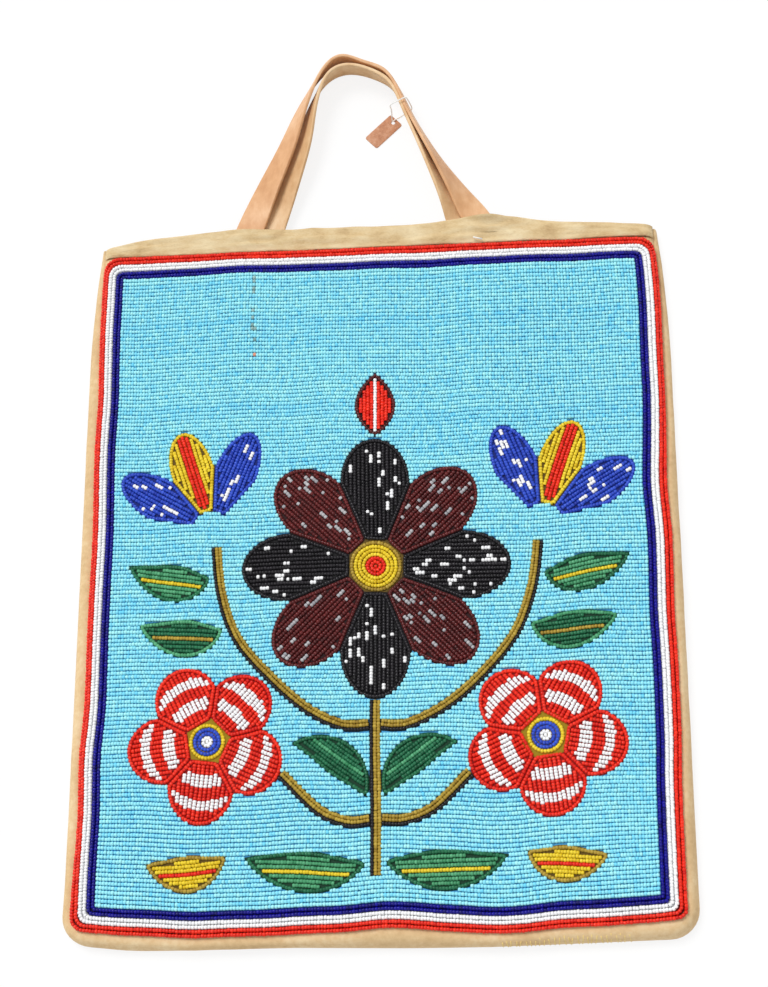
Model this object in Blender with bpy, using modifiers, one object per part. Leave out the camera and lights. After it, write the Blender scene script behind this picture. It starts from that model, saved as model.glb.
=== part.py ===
# A flat beaded pouch that lies on its back: a plain back panel, a front panel whose rolled
# margins come down to the seam, a field of bead rows inside a six-row border, a flower
# design set into the field, hem strips along the mouth and two strap handles with a tag.
# Metres, +Z up. The mouth and the handles point along +Y and the beadwork faces +Z.

import math

import bmesh
import bpy
from mathutils import Matrix, Vector

# Panels
BAG_WIDTH = 0.288
MOUTH_WIDTH = 0.2804
TAPER_LENGTH = 0.075  # the sides draw in over this length below the mouth
CORNER_RADIUS = 0.014
CORNER_STEPS = 5
PANEL_THICKNESS = 0.0012
PANEL_SPACE = 0.0061  # clear height inside the pouch
ROLL_STEPS = 4  # rings of the rolled margin
PIECE_GAP = 0.0003  # between pieces that are sewn face to face

# Beadwork
BEAD_HEIGHT = 0.0018
RIDGE_HEIGHT = 0.0007
FIELD_WIDTH = 0.254
FIELD_LENGTH = 0.3103
FIELD_BOTTOM = 0.0192
BORDER_ROW = 0.00195
ROWS_PER_COLOUR = 2
LANE = 0.00396  # one ridge of the field carries two bead rows
MOTIF_LANE = 0.0034
PLATEAU_MARGIN = 0.0005  # flat cloth left outside the border at the sides
PLATEAU_MARGIN_BOTTOM = 0.002

# Hems
HEM_WIDTH = 0.0108
HEM_THICKNESS = 0.001
HEM_CHAMFER = 0.0003
HEM_INSET = 0.0005  # the hems stop short of the border's outer edge

# Handles
STRAP_WIDTH = 0.014
STRAP_THICKNESS = 0.0018
STRAP_LIFT = 0.001  # lowest edge of a strap above the ground
STRAP_STEPS = 44
# Middle line of each strap from foot to foot: x, y from the mouth, turn on edge in degrees
FRONT_STRAP = (
    (-0.0702, -0.0125, 0), (-0.0642, 0.0030, 0), (-0.0602, 0.0140, 12), (-0.0552, 0.0270, 25),
    (-0.0454, 0.0510, 42), (-0.0375, 0.0730, 60), (-0.0290, 0.0900, 74),
    (-0.0200, 0.0986, 80), (-0.0110, 0.0987, 80), (-0.0025, 0.0952, 80),
    (0.0060, 0.0890, 80), (0.0115, 0.0800, 79), (0.0168, 0.0670, 77),
    (0.0232, 0.0540, 74), (0.0318, 0.0380, 66), (0.0415, 0.0215, 45),
    (0.0466, 0.0125, 22), (0.0520, 0.0035, 0), (0.0602, -0.0100, 0),
)
BACK_STRAP = (
    (-0.0600, -0.0125, 0), (-0.0543, 0.0030, 0), (-0.0505, 0.0140, 12), (-0.0455, 0.0280, 25),
    (-0.0377, 0.0510, 44), (-0.0330, 0.0710, 62), (-0.0270, 0.0860, 76),
    (-0.0195, 0.0925, 80), (-0.0110, 0.0930, 80), (-0.0040, 0.0907, 80),
    (0.0030, 0.0858, 80), (0.0075, 0.0775, 79), (0.0122, 0.0650, 77),
    (0.0172, 0.0530, 74), (0.0245, 0.0370, 66), (0.0335, 0.0205, 45),
    (0.0385, 0.0120, 22), (0.0435, 0.0030, 0), (0.0515, -0.0105, 0),
)

# Tag and its thread
TAG_LENGTH = 0.0185
TAG_WIDTH = 0.0087
TAG_THICKNESS = 0.0006
TAG_CORNER = 0.001
TAG_PLACE = (0.0036, 0.0599)  # its middle: x, y from the mouth
TAG_TURN = math.radians(44)
TAG_HOLE_RADIUS = 0.001
TAG_HOLE_INSET = 0.0024
THREAD_DIAMETER = 0.0006
THREAD_STEPS = 40
# The thread goes from the tag under both straps, over them and back to the tag. Its route is
# given in millimetres inwards across the straps, along them towards the foot, and up
THREAD_PLACE = (0.0140, 0.0695)  # x, y from the mouth
THREAD_TURN = math.radians(-63.3)  # direction of the straps there
THREAD_ROUTE = (
    (6.85, 1.4, 1.25), (5.9, 1.2, 1.3), (4.6, 1.0, 1.15), (3.7, 0.8, 0.55), (2.8, 0.6, 0.32),
    (0.5, 0.3, 0.32), (-2.5, 0.0, 0.32), (-4.4, -0.1, 0.6), (-5.0, -0.2, 1.7),
    (-4.6, -0.2, 5.0), (-3.4, -0.1, 10.5), (-2.1, 0.0, 15.2), (-0.6, 0.1, 16.1),
    (3.0, 0.1, 16.2), (5.4, 0.0, 15.9), (6.5, -0.2, 14.5), (6.2, -0.2, 11.0),
    (6.3, 0.0, 7.0), (6.9, 0.6, 3.5), (7.2, 1.6, 1.5),
)

# Rosette in the middle of the field
ROSETTE_PLACE = (0.0, 0.176)
ROSETTE_PETALS = 8
ROSETTE_EYE = 0.0125
ROSETTE_SHOULDER = 0.041
ROSETTE_REACH = 0.064
EYE_STEPS = 20

# Striped flowers low at the sides
FLOWER_PLACE = (0.078, 0.094)
FLOWER_PETALS = 5
FLOWER_EYE = 0.0085
FLOWER_SHOULDER = 0.0215
FLOWER_REACH = 0.0375
FLOWER_TURN = math.radians(205)  # one petal points at the stem
PETAL_TIP_STEPS = 8

# Tulips high at the sides
TULIP_PLACE = (0.079, 0.196)
TULIP_TURN = math.radians(72)
TULIP_SECTOR = 9  # the petals are as wide as a ninth of a round
TULIP_START = 0.009
TULIP_SHOULDER = 0.030
TULIP_REACH = 0.052

# Stems: middle lines on the right side, as x and y
STEM_WIDTH = 0.0052
STEM_RIDGES = 3
STEM_STEPS = 9
STEM_ROOT = 0.031
LOW_STEM = ((0.0, 0.056), (0.013, 0.056), (0.027, 0.062), (0.0395, 0.0742))
HIGH_STEM = (
    (0.0, 0.100), (0.015, 0.100), (0.033, 0.1085), (0.0495, 0.1235),
    (0.0655, 0.143), (0.0735, 0.165), (0.0765, 0.187),
)

# Leaves on the right side: base, bend, tip and width
ROOT_LEAF = ((0.0040, 0.0370), (0.030, 0.0290), (0.0600, 0.0420), 0.0180)
MIDDLE_LEAF = ((0.0040, 0.0665), (0.012, 0.0905), (0.0385, 0.0915), 0.0165)
SIDE_LEAF = ((0.0722, 0.1475), (0.0880, 0.1370), (0.1130, 0.1500), 0.0180)
OUTER_LEAF = ((0.0788, 0.1720), (0.0940, 0.1640), (0.1190, 0.1790), 0.0180)
LEAF_STEPS = 8
LEAF_FULLNESS = 0.8  # below 1 fills out the ends

# Buds
TOP_BUD = ((0.0, 0.2412), (0.0, 0.256), (0.0, 0.274), 0.020)
LOW_BUD = ((0.0680, 0.0430), (0.084, 0.0300), (0.1050, 0.0390), 0.0165)

# Sizes that follow from those above
BACK_TOP = PANEL_THICKNESS
FRONT_INSIDE = BACK_TOP + PANEL_SPACE
FRONT_TOP = FRONT_INSIDE + PANEL_THICKNESS
BEAD_BASE = FRONT_TOP + PIECE_GAP
BEAD_TOP = BEAD_BASE + BEAD_HEIGHT
GROOVE = BEAD_TOP - RIDGE_HEIGHT
BORDER_WIDTH = 3 * ROWS_PER_COLOUR * BORDER_ROW
FIELD_MIDDLE = FIELD_BOTTOM + FIELD_LENGTH / 2
PLATEAU_HALF = FIELD_WIDTH / 2 + BORDER_WIDTH + PLATEAU_MARGIN
PLATEAU_BOTTOM = FIELD_BOTTOM - BORDER_WIDTH - PLATEAU_MARGIN_BOTTOM
HEM_START = FIELD_BOTTOM + FIELD_LENGTH + BORDER_WIDTH + PIECE_GAP
HEM_END = HEM_START + HEM_WIDTH
PANEL_LENGTH = HEM_END - HEM_THICKNESS - PIECE_GAP  # up to the mouth
HEM_HALF = PLATEAU_HALF - HEM_INSET
CUT_DEPTH = 0.001  # how far cutters reach past what they cut


def srgb(red, green, blue):
    def linear(value):
        value = value / 255
        return value / 12.92 if value < 0.04045 else ((value + 0.055) / 1.055) ** 2.4

    return (linear(red), linear(green), linear(blue), 1.0)


COLOURS = {
    "hide": (srgb(214, 190, 142), 0.85),
    "hem_cloth": (srgb(219, 197, 148), 0.9),
    "strap_leather": (srgb(212, 166, 120), 0.6),
    "sky_beads": (srgb(125, 207, 238), 0.3),
    "red_beads": (srgb(222, 48, 38), 0.3),
    "white_beads": (srgb(245, 246, 248), 0.3),
    "navy_beads": (srgb(20, 22, 120), 0.3),
    "black_beads": (srgb(22, 20, 24), 0.25),
    "oxblood_beads": (srgb(84, 30, 30), 0.25),
    "yellow_beads": (srgb(235, 205, 30), 0.3),
    "gold_beads": (srgb(170, 140, 45), 0.35),
    "royal_beads": (srgb(40, 70, 190), 0.3),
    "green_beads": (srgb(70, 150, 105), 0.3),
    "deep_green_beads": (srgb(28, 98, 66), 0.3),
    "tag_card": (srgb(200, 142, 108), 0.8),
    "tag_thread": (srgb(245, 245, 242), 0.7),
}


def new_collection(name):
    made = bpy.data.collections.new(name)
    bpy.context.scene.collection.children.link(made)
    return made


def material(name):
    made = bpy.data.materials.get(name)
    if made is None:
        made = bpy.data.materials.new(name)
        made.use_nodes = True
        colour, roughness = COLOURS[name]
        shader = made.node_tree.nodes["Principled BSDF"]
        shader.inputs["Base Color"].default_value = colour
        shader.inputs["Roughness"].default_value = roughness
        made.diffuse_color = colour
    return made


def add_object(name, mesh, finish):
    made = bpy.data.objects.new(name, mesh)
    pouch.objects.link(made)
    made.parent = root
    mesh.materials.append(material(finish))
    return made


def add_cutter(name, mesh):
    made = bpy.data.objects.new(name, mesh)
    cutters.objects.link(made)
    made.parent = root
    made.hide_render = True
    made.display_type = "WIRE"
    return made


def mesh_from(name, bm):
    bmesh.ops.recalc_face_normals(bm, faces=bm.faces)
    mesh = bpy.data.meshes.new(name)
    bm.to_mesh(mesh)
    bm.free()
    return mesh


def cut(target, cutter, operation):
    made = target.modifiers.new(operation.lower(), "BOOLEAN")
    made.operation = operation
    made.solver = "EXACT"
    made.object = cutter


# A solid through closed sections of equal count, which runs round on itself if looped
def loft(name, sections, looped=False):
    bm = bmesh.new()
    rows = [[bm.verts.new(point) for point in section] for section in sections]
    following = rows[1:] + rows[:1] if looped else rows[1:]
    for low, high in zip(rows, following):
        for i in range(len(low)):
            bm.faces.new((low[i - 1], low[i], high[i], high[i - 1]))
    if not looped:
        bm.faces.new(rows[0])
        bm.faces.new(rows[-1])
    return mesh_from(name, bm)


# A straight solid: a flat section across the X axis, pushed along it
def prism(name, section, length):
    bm = bmesh.new()
    face = bm.faces.new([bm.verts.new((-length / 2, y, z)) for y, z in section])
    pushed = bmesh.ops.extrude_face_region(bm, geom=[face])["geom"]
    moved = [item for item in pushed if isinstance(item, bmesh.types.BMVert)]
    bmesh.ops.translate(bm, vec=(length, 0, 0), verts=moved)
    return mesh_from(name, bm)


# A closed flat outline with a thickness, made as a filled curve and read off as a mesh
def plate(name, outline, low, high):
    curve = bpy.data.curves.new(name, "CURVE")
    curve.dimensions = "2D"
    curve.fill_mode = "BOTH"
    curve.extrude = (high - low) / 2
    spline = curve.splines.new("POLY")
    spline.points.add(len(outline) - 1)
    for point, place in zip(spline.points, outline):
        point.co = (place[0], place[1], 0, 1)
    spline.use_cyclic_u = True
    holder = bpy.data.objects.new(name, curve)
    cutters.objects.link(holder)
    bpy.context.view_layer.update()
    seen = holder.evaluated_get(bpy.context.evaluated_depsgraph_get())
    mesh = bpy.data.meshes.new_from_object(seen)
    bpy.data.objects.remove(holder)
    bpy.data.curves.remove(curve)
    bm = bmesh.new()
    bm.from_mesh(mesh)
    bmesh.ops.remove_doubles(bm, verts=bm.verts, dist=0.00001)
    bmesh.ops.translate(bm, vec=(0, 0, (low + high) / 2), verts=bm.verts)
    bmesh.ops.recalc_face_normals(bm, faces=bm.faces)
    bm.to_mesh(mesh)
    bm.free()
    mesh.materials.clear()
    return mesh


# Section of touching bead rows: a flat underside and one low ridge a lane, from start on
def ridged_section(start, lanes, lane):
    points = [(start, BEAD_BASE), (start, GROOVE)]
    for k in range(lanes):
        points.append((start + (k + 0.5) * lane, BEAD_TOP))
        points.append((start + (k + 1) * lane, GROOVE))
    points.append((start + lanes * lane, BEAD_BASE))
    return points


# A smooth curve through points, as points evenly stepped over their first few coordinates
def smooth_through(points, steps, measured=2):
    ends = [points[0]] + list(points) + [points[-1]]
    fine = []
    for a, b, c, d in zip(ends, ends[1:], ends[2:], ends[3:]):
        for k in range(12):
            t = k / 12
            fine.append([
                0.5 * (2 * q + (r - p) * t + (2 * p - 5 * q + 4 * r - s) * t ** 2
                       + (3 * q - p - 3 * r + s) * t ** 3)
                for p, q, r, s in zip(a, b, c, d)
            ])
    fine.append(list(points[-1]))
    lengths = [0.0]
    for a, b in zip(fine, fine[1:]):
        lengths.append(lengths[-1] + math.dist(a[:measured], b[:measured]))
    result = []
    at = 0
    for k in range(steps + 1):
        want = lengths[-1] * k / steps
        while at < len(fine) - 2 and lengths[at + 1] < want:
            at += 1
        share = (want - lengths[at]) / (lengths[at + 1] - lengths[at])
        result.append([a + (b - a) * share for a, b in zip(fine[at], fine[at + 1])])
    return result


# Sideways unit vectors along a flat path, to the right of its direction
def sides_of(path):
    found = []
    for i in range(len(path)):
        before = path[max(i - 1, 0)]
        after = path[min(i + 1, len(path) - 1)]
        along = Vector((after[0] - before[0], after[1] - before[1])).normalized()
        found.append((along.y, -along.x))
    return found


def band_outline(path, half):
    sides = sides_of(path)
    right = [(p[0] + s[0] * half, p[1] + s[1] * half) for p, s in zip(path, sides)]
    left = [(p[0] - s[0] * half, p[1] - s[1] * half) for p, s in zip(path, sides)]
    return right + left[::-1]


# The outline moved outwards all round, whichever way it runs
def grown(outline, distance):
    area = sum(a[0] * b[1] - b[0] * a[1] for a, b in zip(outline, outline[1:] + outline[:1]))
    sign = 1 if area > 0 else -1
    moved = []
    for i, point in enumerate(outline):
        before, after = Vector(outline[i - 1]), Vector(outline[(i + 1) % len(outline)])
        here = Vector(point)
        first, second = (here - before).normalized(), (after - here).normalized()
        one = Vector((first.y, -first.x)) * sign
        two = Vector((second.y, -second.x)) * sign
        spread = max(1 + one.dot(two), 0.5)
        moved.append(tuple(here + (one + two) * (distance / spread)))
    return moved


def mirrored(points, side):
    return [(side * p[0],) + tuple(p[1:]) for p in points]


# Bag outline from the left end of the mouth round the bottom to its right end
def bag_outline(half, half_at_mouth, bottom, radius):
    right = [(half_at_mouth, PANEL_LENGTH)]
    for k in (1, 2, 3):
        share = k / 3
        draw = (half - half_at_mouth) * math.sin(share * math.pi / 2)
        right.append((half_at_mouth + draw, PANEL_LENGTH - TAPER_LENGTH * share))
    for k in range(CORNER_STEPS + 1):
        a = math.pi / 2 * k / CORNER_STEPS
        right.append((half - radius + radius * math.cos(a), bottom + radius - radius * math.sin(a)))
    left = [(-x, y) for x, y in right]
    return left + right[::-1]


def make_back_panel():
    outline = bag_outline(BAG_WIDTH / 2, MOUTH_WIDTH / 2, 0, CORNER_RADIUS)
    add_object("back_panel", plate("back_panel", outline, 0, BACK_TOP), "hide")


# The front panel is flat under the beadwork and rolls down to the seam along three sides
def make_front_panel():
    rim = bag_outline(BAG_WIDTH / 2, MOUTH_WIDTH / 2, 0, CORNER_RADIUS)
    inner_radius = CORNER_RADIUS - PLATEAU_BOTTOM
    flat = bag_outline(PLATEAU_HALF, PLATEAU_HALF, PLATEAU_BOTTOM, inner_radius)
    low = BACK_TOP + PIECE_GAP
    bm = bmesh.new()
    rows = []
    for k in range(ROLL_STEPS + 1):
        a = math.pi / 2 * k / ROLL_STEPS
        inwards, upwards = 1 - math.cos(a), math.sin(a)
        rows.append([
            bm.verts.new((
                p[0] + (q[0] - p[0]) * inwards,
                p[1] + (q[1] - p[1]) * inwards,
                low + (FRONT_TOP - low) * upwards,
            ))
            for p, q in zip(rim, flat)
        ])
    for lower, upper in zip(rows, rows[1:]):
        for i in range(len(lower) - 1):
            bm.faces.new((lower[i], lower[i + 1], upper[i + 1], upper[i]))
    bm.faces.new(rows[-1])
    mesh = mesh_from("front_panel", bm)
    if mesh.polygons[len(mesh.polygons) - 1].normal.z < 0:
        mesh.flip_normals()
    panel = add_object("front_panel", mesh, "hide")
    wall = panel.modifiers.new("wall", "SOLIDIFY")
    wall.thickness = PANEL_THICKNESS
    wall.offset = -1
    wall.use_even_offset = True


# One hem lies on the beaded side, the other inside the mouth, each folded over its edge
def make_hems():
    fold = PANEL_LENGTH + PIECE_GAP
    front = [
        (HEM_START, FRONT_TOP + PIECE_GAP), (fold, FRONT_TOP + PIECE_GAP),
        (fold, FRONT_INSIDE), (HEM_END, FRONT_INSIDE),
        (HEM_END, FRONT_TOP + PIECE_GAP + HEM_THICKNESS - HEM_CHAMFER),
        (HEM_END - HEM_CHAMFER, FRONT_TOP + PIECE_GAP + HEM_THICKNESS),
        (HEM_START, FRONT_TOP + PIECE_GAP + HEM_THICKNESS),
    ]
    back = [
        (HEM_START, BACK_TOP + PIECE_GAP), (fold, BACK_TOP + PIECE_GAP),
        (fold, 0), (HEM_END, 0), (HEM_END, BACK_TOP + PIECE_GAP + HEM_THICKNESS),
        (HEM_START, BACK_TOP + PIECE_GAP + HEM_THICKNESS),
    ]
    for name, section in (("mouth_hem_front", front), ("mouth_hem_back", back)):
        add_object(name, prism(name, section, 2 * HEM_HALF), "hem_cloth")


# Three rings of two bead rows each round the field: navy inside, then white, then red
def make_border():
    width = ROWS_PER_COLOUR * BORDER_ROW
    lane = (width - PIECE_GAP) / ROWS_PER_COLOUR
    for k, colour in enumerate(("navy", "white", "red")):
        section = ridged_section(k * width + PIECE_GAP / 2, ROWS_PER_COLOUR, lane)
        corners = []
        for across, along in ((-1, -1), (1, -1), (1, 1), (-1, 1)):
            corners.append([
                (
                    across * (FIELD_WIDTH / 2 + out),
                    FIELD_MIDDLE + along * (FIELD_LENGTH / 2 + out),
                    height,
                )
                for out, height in section
            ])
        name = "border_" + colour
        add_object(name, loft(name, corners, looped=True), colour + "_beads")


# A piece of the design: its outline filled with straight ridges that run along turn
def add_motif(name, outline, turn, finish):
    along = Vector((math.cos(turn), math.sin(turn)))
    across = Vector((-along.y, along.x))
    lengths = [Vector(p).dot(along) for p in outline]
    widths = [Vector(p).dot(across) for p in outline]
    lanes = math.ceil((max(widths) - min(widths)) / MOTIF_LANE) + 1
    middle = (max(widths) + min(widths)) / 2
    section = ridged_section(-lanes * MOTIF_LANE / 2, lanes, MOTIF_LANE)
    length = max(lengths) - min(lengths) + 2 * CUT_DEPTH
    mesh = prism(name, section, length)
    centre = along * ((max(lengths) + min(lengths)) / 2) + across * middle
    place = Matrix.Translation((centre.x, centre.y, 0)) @ Matrix.Rotation(turn, 4, "Z")
    mesh.transform(place)
    piece = add_object(name, mesh, finish)
    shape = plate(name + "_shape", outline, BEAD_BASE - CUT_DEPTH, BEAD_TOP + CUT_DEPTH)
    cut(piece, add_cutter(name + "_shape", shape), "INTERSECT")
    field_holes.append(outline)


# Petals of one flower touch along straight sides and end in a round tip
def petal_outline(place, turn, sector, start, shoulder, reach):
    slope = math.tan(math.pi / sector)
    spare = PIECE_GAP / 2 / math.cos(math.pi / sector)
    half = shoulder * slope - spare
    local = [(start, spare - start * slope)]
    for k in range(PETAL_TIP_STEPS + 1):
        a = -math.pi / 2 + math.pi * k / PETAL_TIP_STEPS
        local.append((shoulder + (reach - shoulder) * math.cos(a), half * math.sin(a)))
    local.append((start, start * slope - spare))
    c, s = math.cos(turn), math.sin(turn)
    return [(place[0] + r * c - h * s, place[1] + r * s + h * c) for r, h in local]


# A pointed leaf or bud along a bent axis
def leaf_outline(base, bend, tip, width):
    def axis(t):
        return [
            (1 - t) ** 2 * a + 2 * t * (1 - t) * b + t ** 2 * c
            for a, b, c in zip(base, bend, tip)
        ]

    path = [axis(k / LEAF_STEPS) for k in range(LEAF_STEPS + 1)]
    sides = sides_of(path)
    right, left = [], []
    for k in range(1, LEAF_STEPS):
        half = width / 2 * math.sin(math.pi * k / LEAF_STEPS) ** LEAF_FULLNESS
        right.append((path[k][0] + sides[k][0] * half, path[k][1] + sides[k][1] * half))
        left.append((path[k][0] - sides[k][0] * half, path[k][1] - sides[k][1] * half))
    return [tuple(base)] + right + [tuple(tip)] + left[::-1]


# A round eye of ring-shaped bead rows, turned from its section, within a number of petals
def add_eye(name, place, radius, petals, finish):
    rings = round(radius / MOTIF_LANE)
    lane = radius / rings
    bm = bmesh.new()
    points = [(radius, GROOVE), (radius, BEAD_BASE)]
    for k in range(rings):
        points.insert(0, ((rings - k - 0.5) * lane, BEAD_TOP))
        if k < rings - 1:
            points.insert(0, ((rings - k - 1) * lane, GROOVE))
    points.insert(0, (0, GROOVE))
    points.append((0, BEAD_BASE))
    chain = [bm.verts.new((r, 0, z)) for r, z in points]
    for a, b in zip(chain, chain[1:]):
        bm.edges.new((a, b))
    mesh = bpy.data.meshes.new(name)
    bm.to_mesh(mesh)
    bm.free()
    eye = add_object(name, mesh, finish)
    eye.location = (place[0], place[1], 0)
    turned = eye.modifiers.new("turned", "SCREW")
    turned.steps = turned.render_steps = EYE_STEPS
    turned.use_merge_vertices = True
    turned.merge_threshold = 0.00001
    corner = (radius + PIECE_GAP) / math.cos(math.pi / petals)  # where two petals meet it
    around = [2 * math.pi * k / EYE_STEPS for k in range(EYE_STEPS)]
    field_holes.append([
        (place[0] + corner * math.cos(a), place[1] + corner * math.sin(a)) for a in around
    ])


def add_stem(name, path, finish):
    sides = sides_of(path)
    section = ridged_section(-STEM_WIDTH / 2, STEM_RIDGES, STEM_WIDTH / STEM_RIDGES)
    rings = [
        [(p[0] + s[0] * out, p[1] + s[1] * out, height) for out, height in section]
        for p, s in zip(path, sides)
    ]
    add_object(name, loft(name, rings), finish)
    field_holes.append(band_outline(path, STEM_WIDTH / 2))


def make_rosette():
    for k in range(ROSETTE_PETALS):
        turn = math.pi / 2 - 2 * math.pi * k / ROSETTE_PETALS
        outline = petal_outline(
            ROSETTE_PLACE, turn, ROSETTE_PETALS,
            ROSETTE_EYE + PIECE_GAP, ROSETTE_SHOULDER, ROSETTE_REACH,
        )
        finish = "oxblood_beads" if k % 2 else "black_beads"
        add_motif(f"rosette_petal_{k + 1}", outline, turn, finish)
    add_eye("rosette_eye", ROSETTE_PLACE, ROSETTE_EYE, ROSETTE_PETALS, "yellow_beads")


def side_turn(turn, side):
    return turn if side > 0 else math.pi - turn


def make_flower(side, word):
    place = (side * FLOWER_PLACE[0], FLOWER_PLACE[1])
    for k in range(FLOWER_PETALS):
        turn = side_turn(FLOWER_TURN + 2 * math.pi * k / FLOWER_PETALS, side)
        outline = petal_outline(
            place, turn, FLOWER_PETALS,
            FLOWER_EYE + PIECE_GAP, FLOWER_SHOULDER, FLOWER_REACH,
        )
        add_motif(f"flower_petal_{word}_{k + 1}", outline, turn, "red_beads")
    add_eye("flower_eye_" + word, place, FLOWER_EYE, FLOWER_PETALS, "royal_beads")


def make_tulip(side, word):
    place = (side * TULIP_PLACE[0], TULIP_PLACE[1])
    for k in range(3):
        turn = side_turn(TULIP_TURN + (k - 1) * 2 * math.pi / TULIP_SECTOR, side)
        outline = petal_outline(
            place, turn, TULIP_SECTOR, TULIP_START, TULIP_SHOULDER, TULIP_REACH
        )
        finish = "yellow_beads" if k == 1 else "royal_beads"
        add_motif(f"tulip_petal_{word}_{k + 1}", outline, turn, finish)


def make_stems():
    flower = Vector(FLOWER_PLACE)
    heading = Vector((math.cos(FLOWER_TURN), math.sin(FLOWER_TURN)))
    tip = flower + heading * (FLOWER_REACH + 2 * PIECE_GAP)
    start = STEM_WIDTH / 2 + PIECE_GAP
    top = ROSETTE_PLACE[1] - ROSETTE_REACH - 2 * PIECE_GAP
    add_stem("stem_middle", [(0, STEM_ROOT), (0, top)], "gold_beads")
    low = [(start, LOW_STEM[0][1])] + list(LOW_STEM[1:-1]) + [tuple(tip)]
    high = [(start, HIGH_STEM[0][1])] + list(HIGH_STEM[1:])
    for side, word in ((-1, "left"), (1, "right")):
        for name, route in (("stem_low_", low), ("stem_high_", high)):
            path = [tuple(p) for p in smooth_through(route, STEM_STEPS)]
            add_stem(name + word, mirrored(path, side), "gold_beads")


def make_leaves():
    for side, word in ((-1, "left"), (1, "right")):
        for name, (base, bend, tip, width), finish in (
            ("root_leaf_", ROOT_LEAF, "green_beads"),
            ("middle_leaf_", MIDDLE_LEAF, "deep_green_beads"),
            ("side_leaf_", SIDE_LEAF, "deep_green_beads"),
            ("outer_leaf_", OUTER_LEAF, "green_beads"),
            ("low_bud_", LOW_BUD, "yellow_beads"),
        ):
            outline = mirrored(leaf_outline(base, bend, tip, width), side)
            turn = math.atan2(tip[1] - base[1], side * (tip[0] - base[0]))
            add_motif(name + word, outline, turn, finish)
    add_motif("top_bud", leaf_outline(*TOP_BUD), math.pi / 2, "red_beads")


# Lanes of sky-coloured beads from border to border, open where the design is set in
def make_field():
    lanes = round((FIELD_LENGTH - PIECE_GAP) / LANE)
    section = ridged_section(
        FIELD_BOTTOM + PIECE_GAP / 2, lanes, (FIELD_LENGTH - PIECE_GAP) / lanes
    )
    field = add_object(
        "bead_field", prism("bead_field", section, FIELD_WIDTH - PIECE_GAP), "sky_beads"
    )
    for k, outline in enumerate(field_holes):
        hole = plate(
            f"field_hole_{k}", grown(outline, PIECE_GAP),
            BEAD_BASE - CUT_DEPTH, BEAD_TOP + CUT_DEPTH,
        )
        holder = bpy.data.objects.new(f"field_hole_{k}", hole)
        holes.objects.link(holder)
        holder.parent = root
        holder.hide_render = True
        holder.display_type = "WIRE"
    made = field.modifiers.new("design", "BOOLEAN")
    made.operation = "DIFFERENCE"
    made.solver = "EXACT"
    made.operand_type = "COLLECTION"
    made.collection = holes


# A flat strap that turns on edge along the loop, its inner edge upwards
def make_strap(name, route, foot_height):
    path = smooth_through(route, STRAP_STEPS)
    sides = sides_of(path)
    rings = []
    for (x, y, degrees), side in zip(path, sides):
        turn = math.radians(max(degrees, 0))
        reach = STRAP_WIDTH / 2 * math.sin(turn) + STRAP_THICKNESS / 2 * math.cos(turn)
        height = max(foot_height, STRAP_LIFT + reach)
        wide = Vector((side[0] * math.cos(turn), side[1] * math.cos(turn), math.sin(turn)))
        thick = Vector((-side[0] * math.sin(turn), -side[1] * math.sin(turn), math.cos(turn)))
        middle = Vector((x, PANEL_LENGTH + y, height))
        rings.append([
            middle + wide * (a * STRAP_WIDTH / 2) + thick * (b * STRAP_THICKNESS / 2)
            for a, b in ((-1, -1), (1, -1), (1, 1), (-1, 1))
        ])
    add_object(name, loft(name, rings), "strap_leather")


def make_handles():
    front_height = FRONT_INSIDE - PIECE_GAP - STRAP_THICKNESS / 2
    back_height = BACK_TOP + 2 * PIECE_GAP + HEM_THICKNESS + STRAP_THICKNESS / 2
    make_strap("handle_front", FRONT_STRAP, front_height)
    make_strap("handle_back", BACK_STRAP, back_height)


# A small blank card with a punched hole, tied to the handles by a white thread
def make_tag():
    half_x, half_y = TAG_LENGTH / 2, TAG_WIDTH / 2
    corners = []
    for sx, sy, start in ((1, 1, 0), (-1, 1, 90), (-1, -1, 180), (1, -1, 270)):
        for step in (0, 45, 90):
            a = math.radians(start + step)
            corners.append((
                sx * (half_x - TAG_CORNER) + TAG_CORNER * math.cos(a),
                sy * (half_y - TAG_CORNER) + TAG_CORNER * math.sin(a),
            ))
    tag = add_object("tag", plate("tag", corners, 0, TAG_THICKNESS), "tag_card")
    tag.location = (TAG_PLACE[0], PANEL_LENGTH + TAG_PLACE[1], 0)
    tag.rotation_euler.z = TAG_TURN
    bm = bmesh.new()
    bmesh.ops.create_cone(
        bm, cap_ends=True, segments=12, radius1=TAG_HOLE_RADIUS, radius2=TAG_HOLE_RADIUS,
        depth=2 * CUT_DEPTH,
    )
    hole = add_cutter("tag_hole", mesh_from("tag_hole", bm))
    away = half_x - TAG_HOLE_INSET
    hole.location = (
        TAG_PLACE[0] + away * math.cos(TAG_TURN),
        PANEL_LENGTH + TAG_PLACE[1] + away * math.sin(TAG_TURN),
        TAG_THICKNESS / 2,
    )
    cut(tag, hole, "DIFFERENCE")
    curve = bpy.data.curves.new("tag_thread", "CURVE")
    curve.dimensions = "3D"
    curve.bevel_depth = THREAD_DIAMETER / 2
    curve.bevel_resolution = 2
    curve.use_fill_caps = True
    along = Vector((math.cos(THREAD_TURN), math.sin(THREAD_TURN), 0))
    inwards = Vector((along.y, -along.x, 0))
    start = Vector((THREAD_PLACE[0], PANEL_LENGTH + THREAD_PLACE[1], 0))
    route = [
        start + (inwards * a + along * b + Vector((0, 0, c))) / 1000 for a, b, c in THREAD_ROUTE
    ]
    path = smooth_through(route, THREAD_STEPS, measured=3)
    spline = curve.splines.new("POLY")
    spline.points.add(len(path) - 1)
    for point, place in zip(spline.points, path):
        point.co = (*place, 1)
    thread = bpy.data.objects.new("tag_thread", curve)
    pouch.objects.link(thread)
    thread.parent = root
    curve.materials.append(material("tag_thread"))


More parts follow.
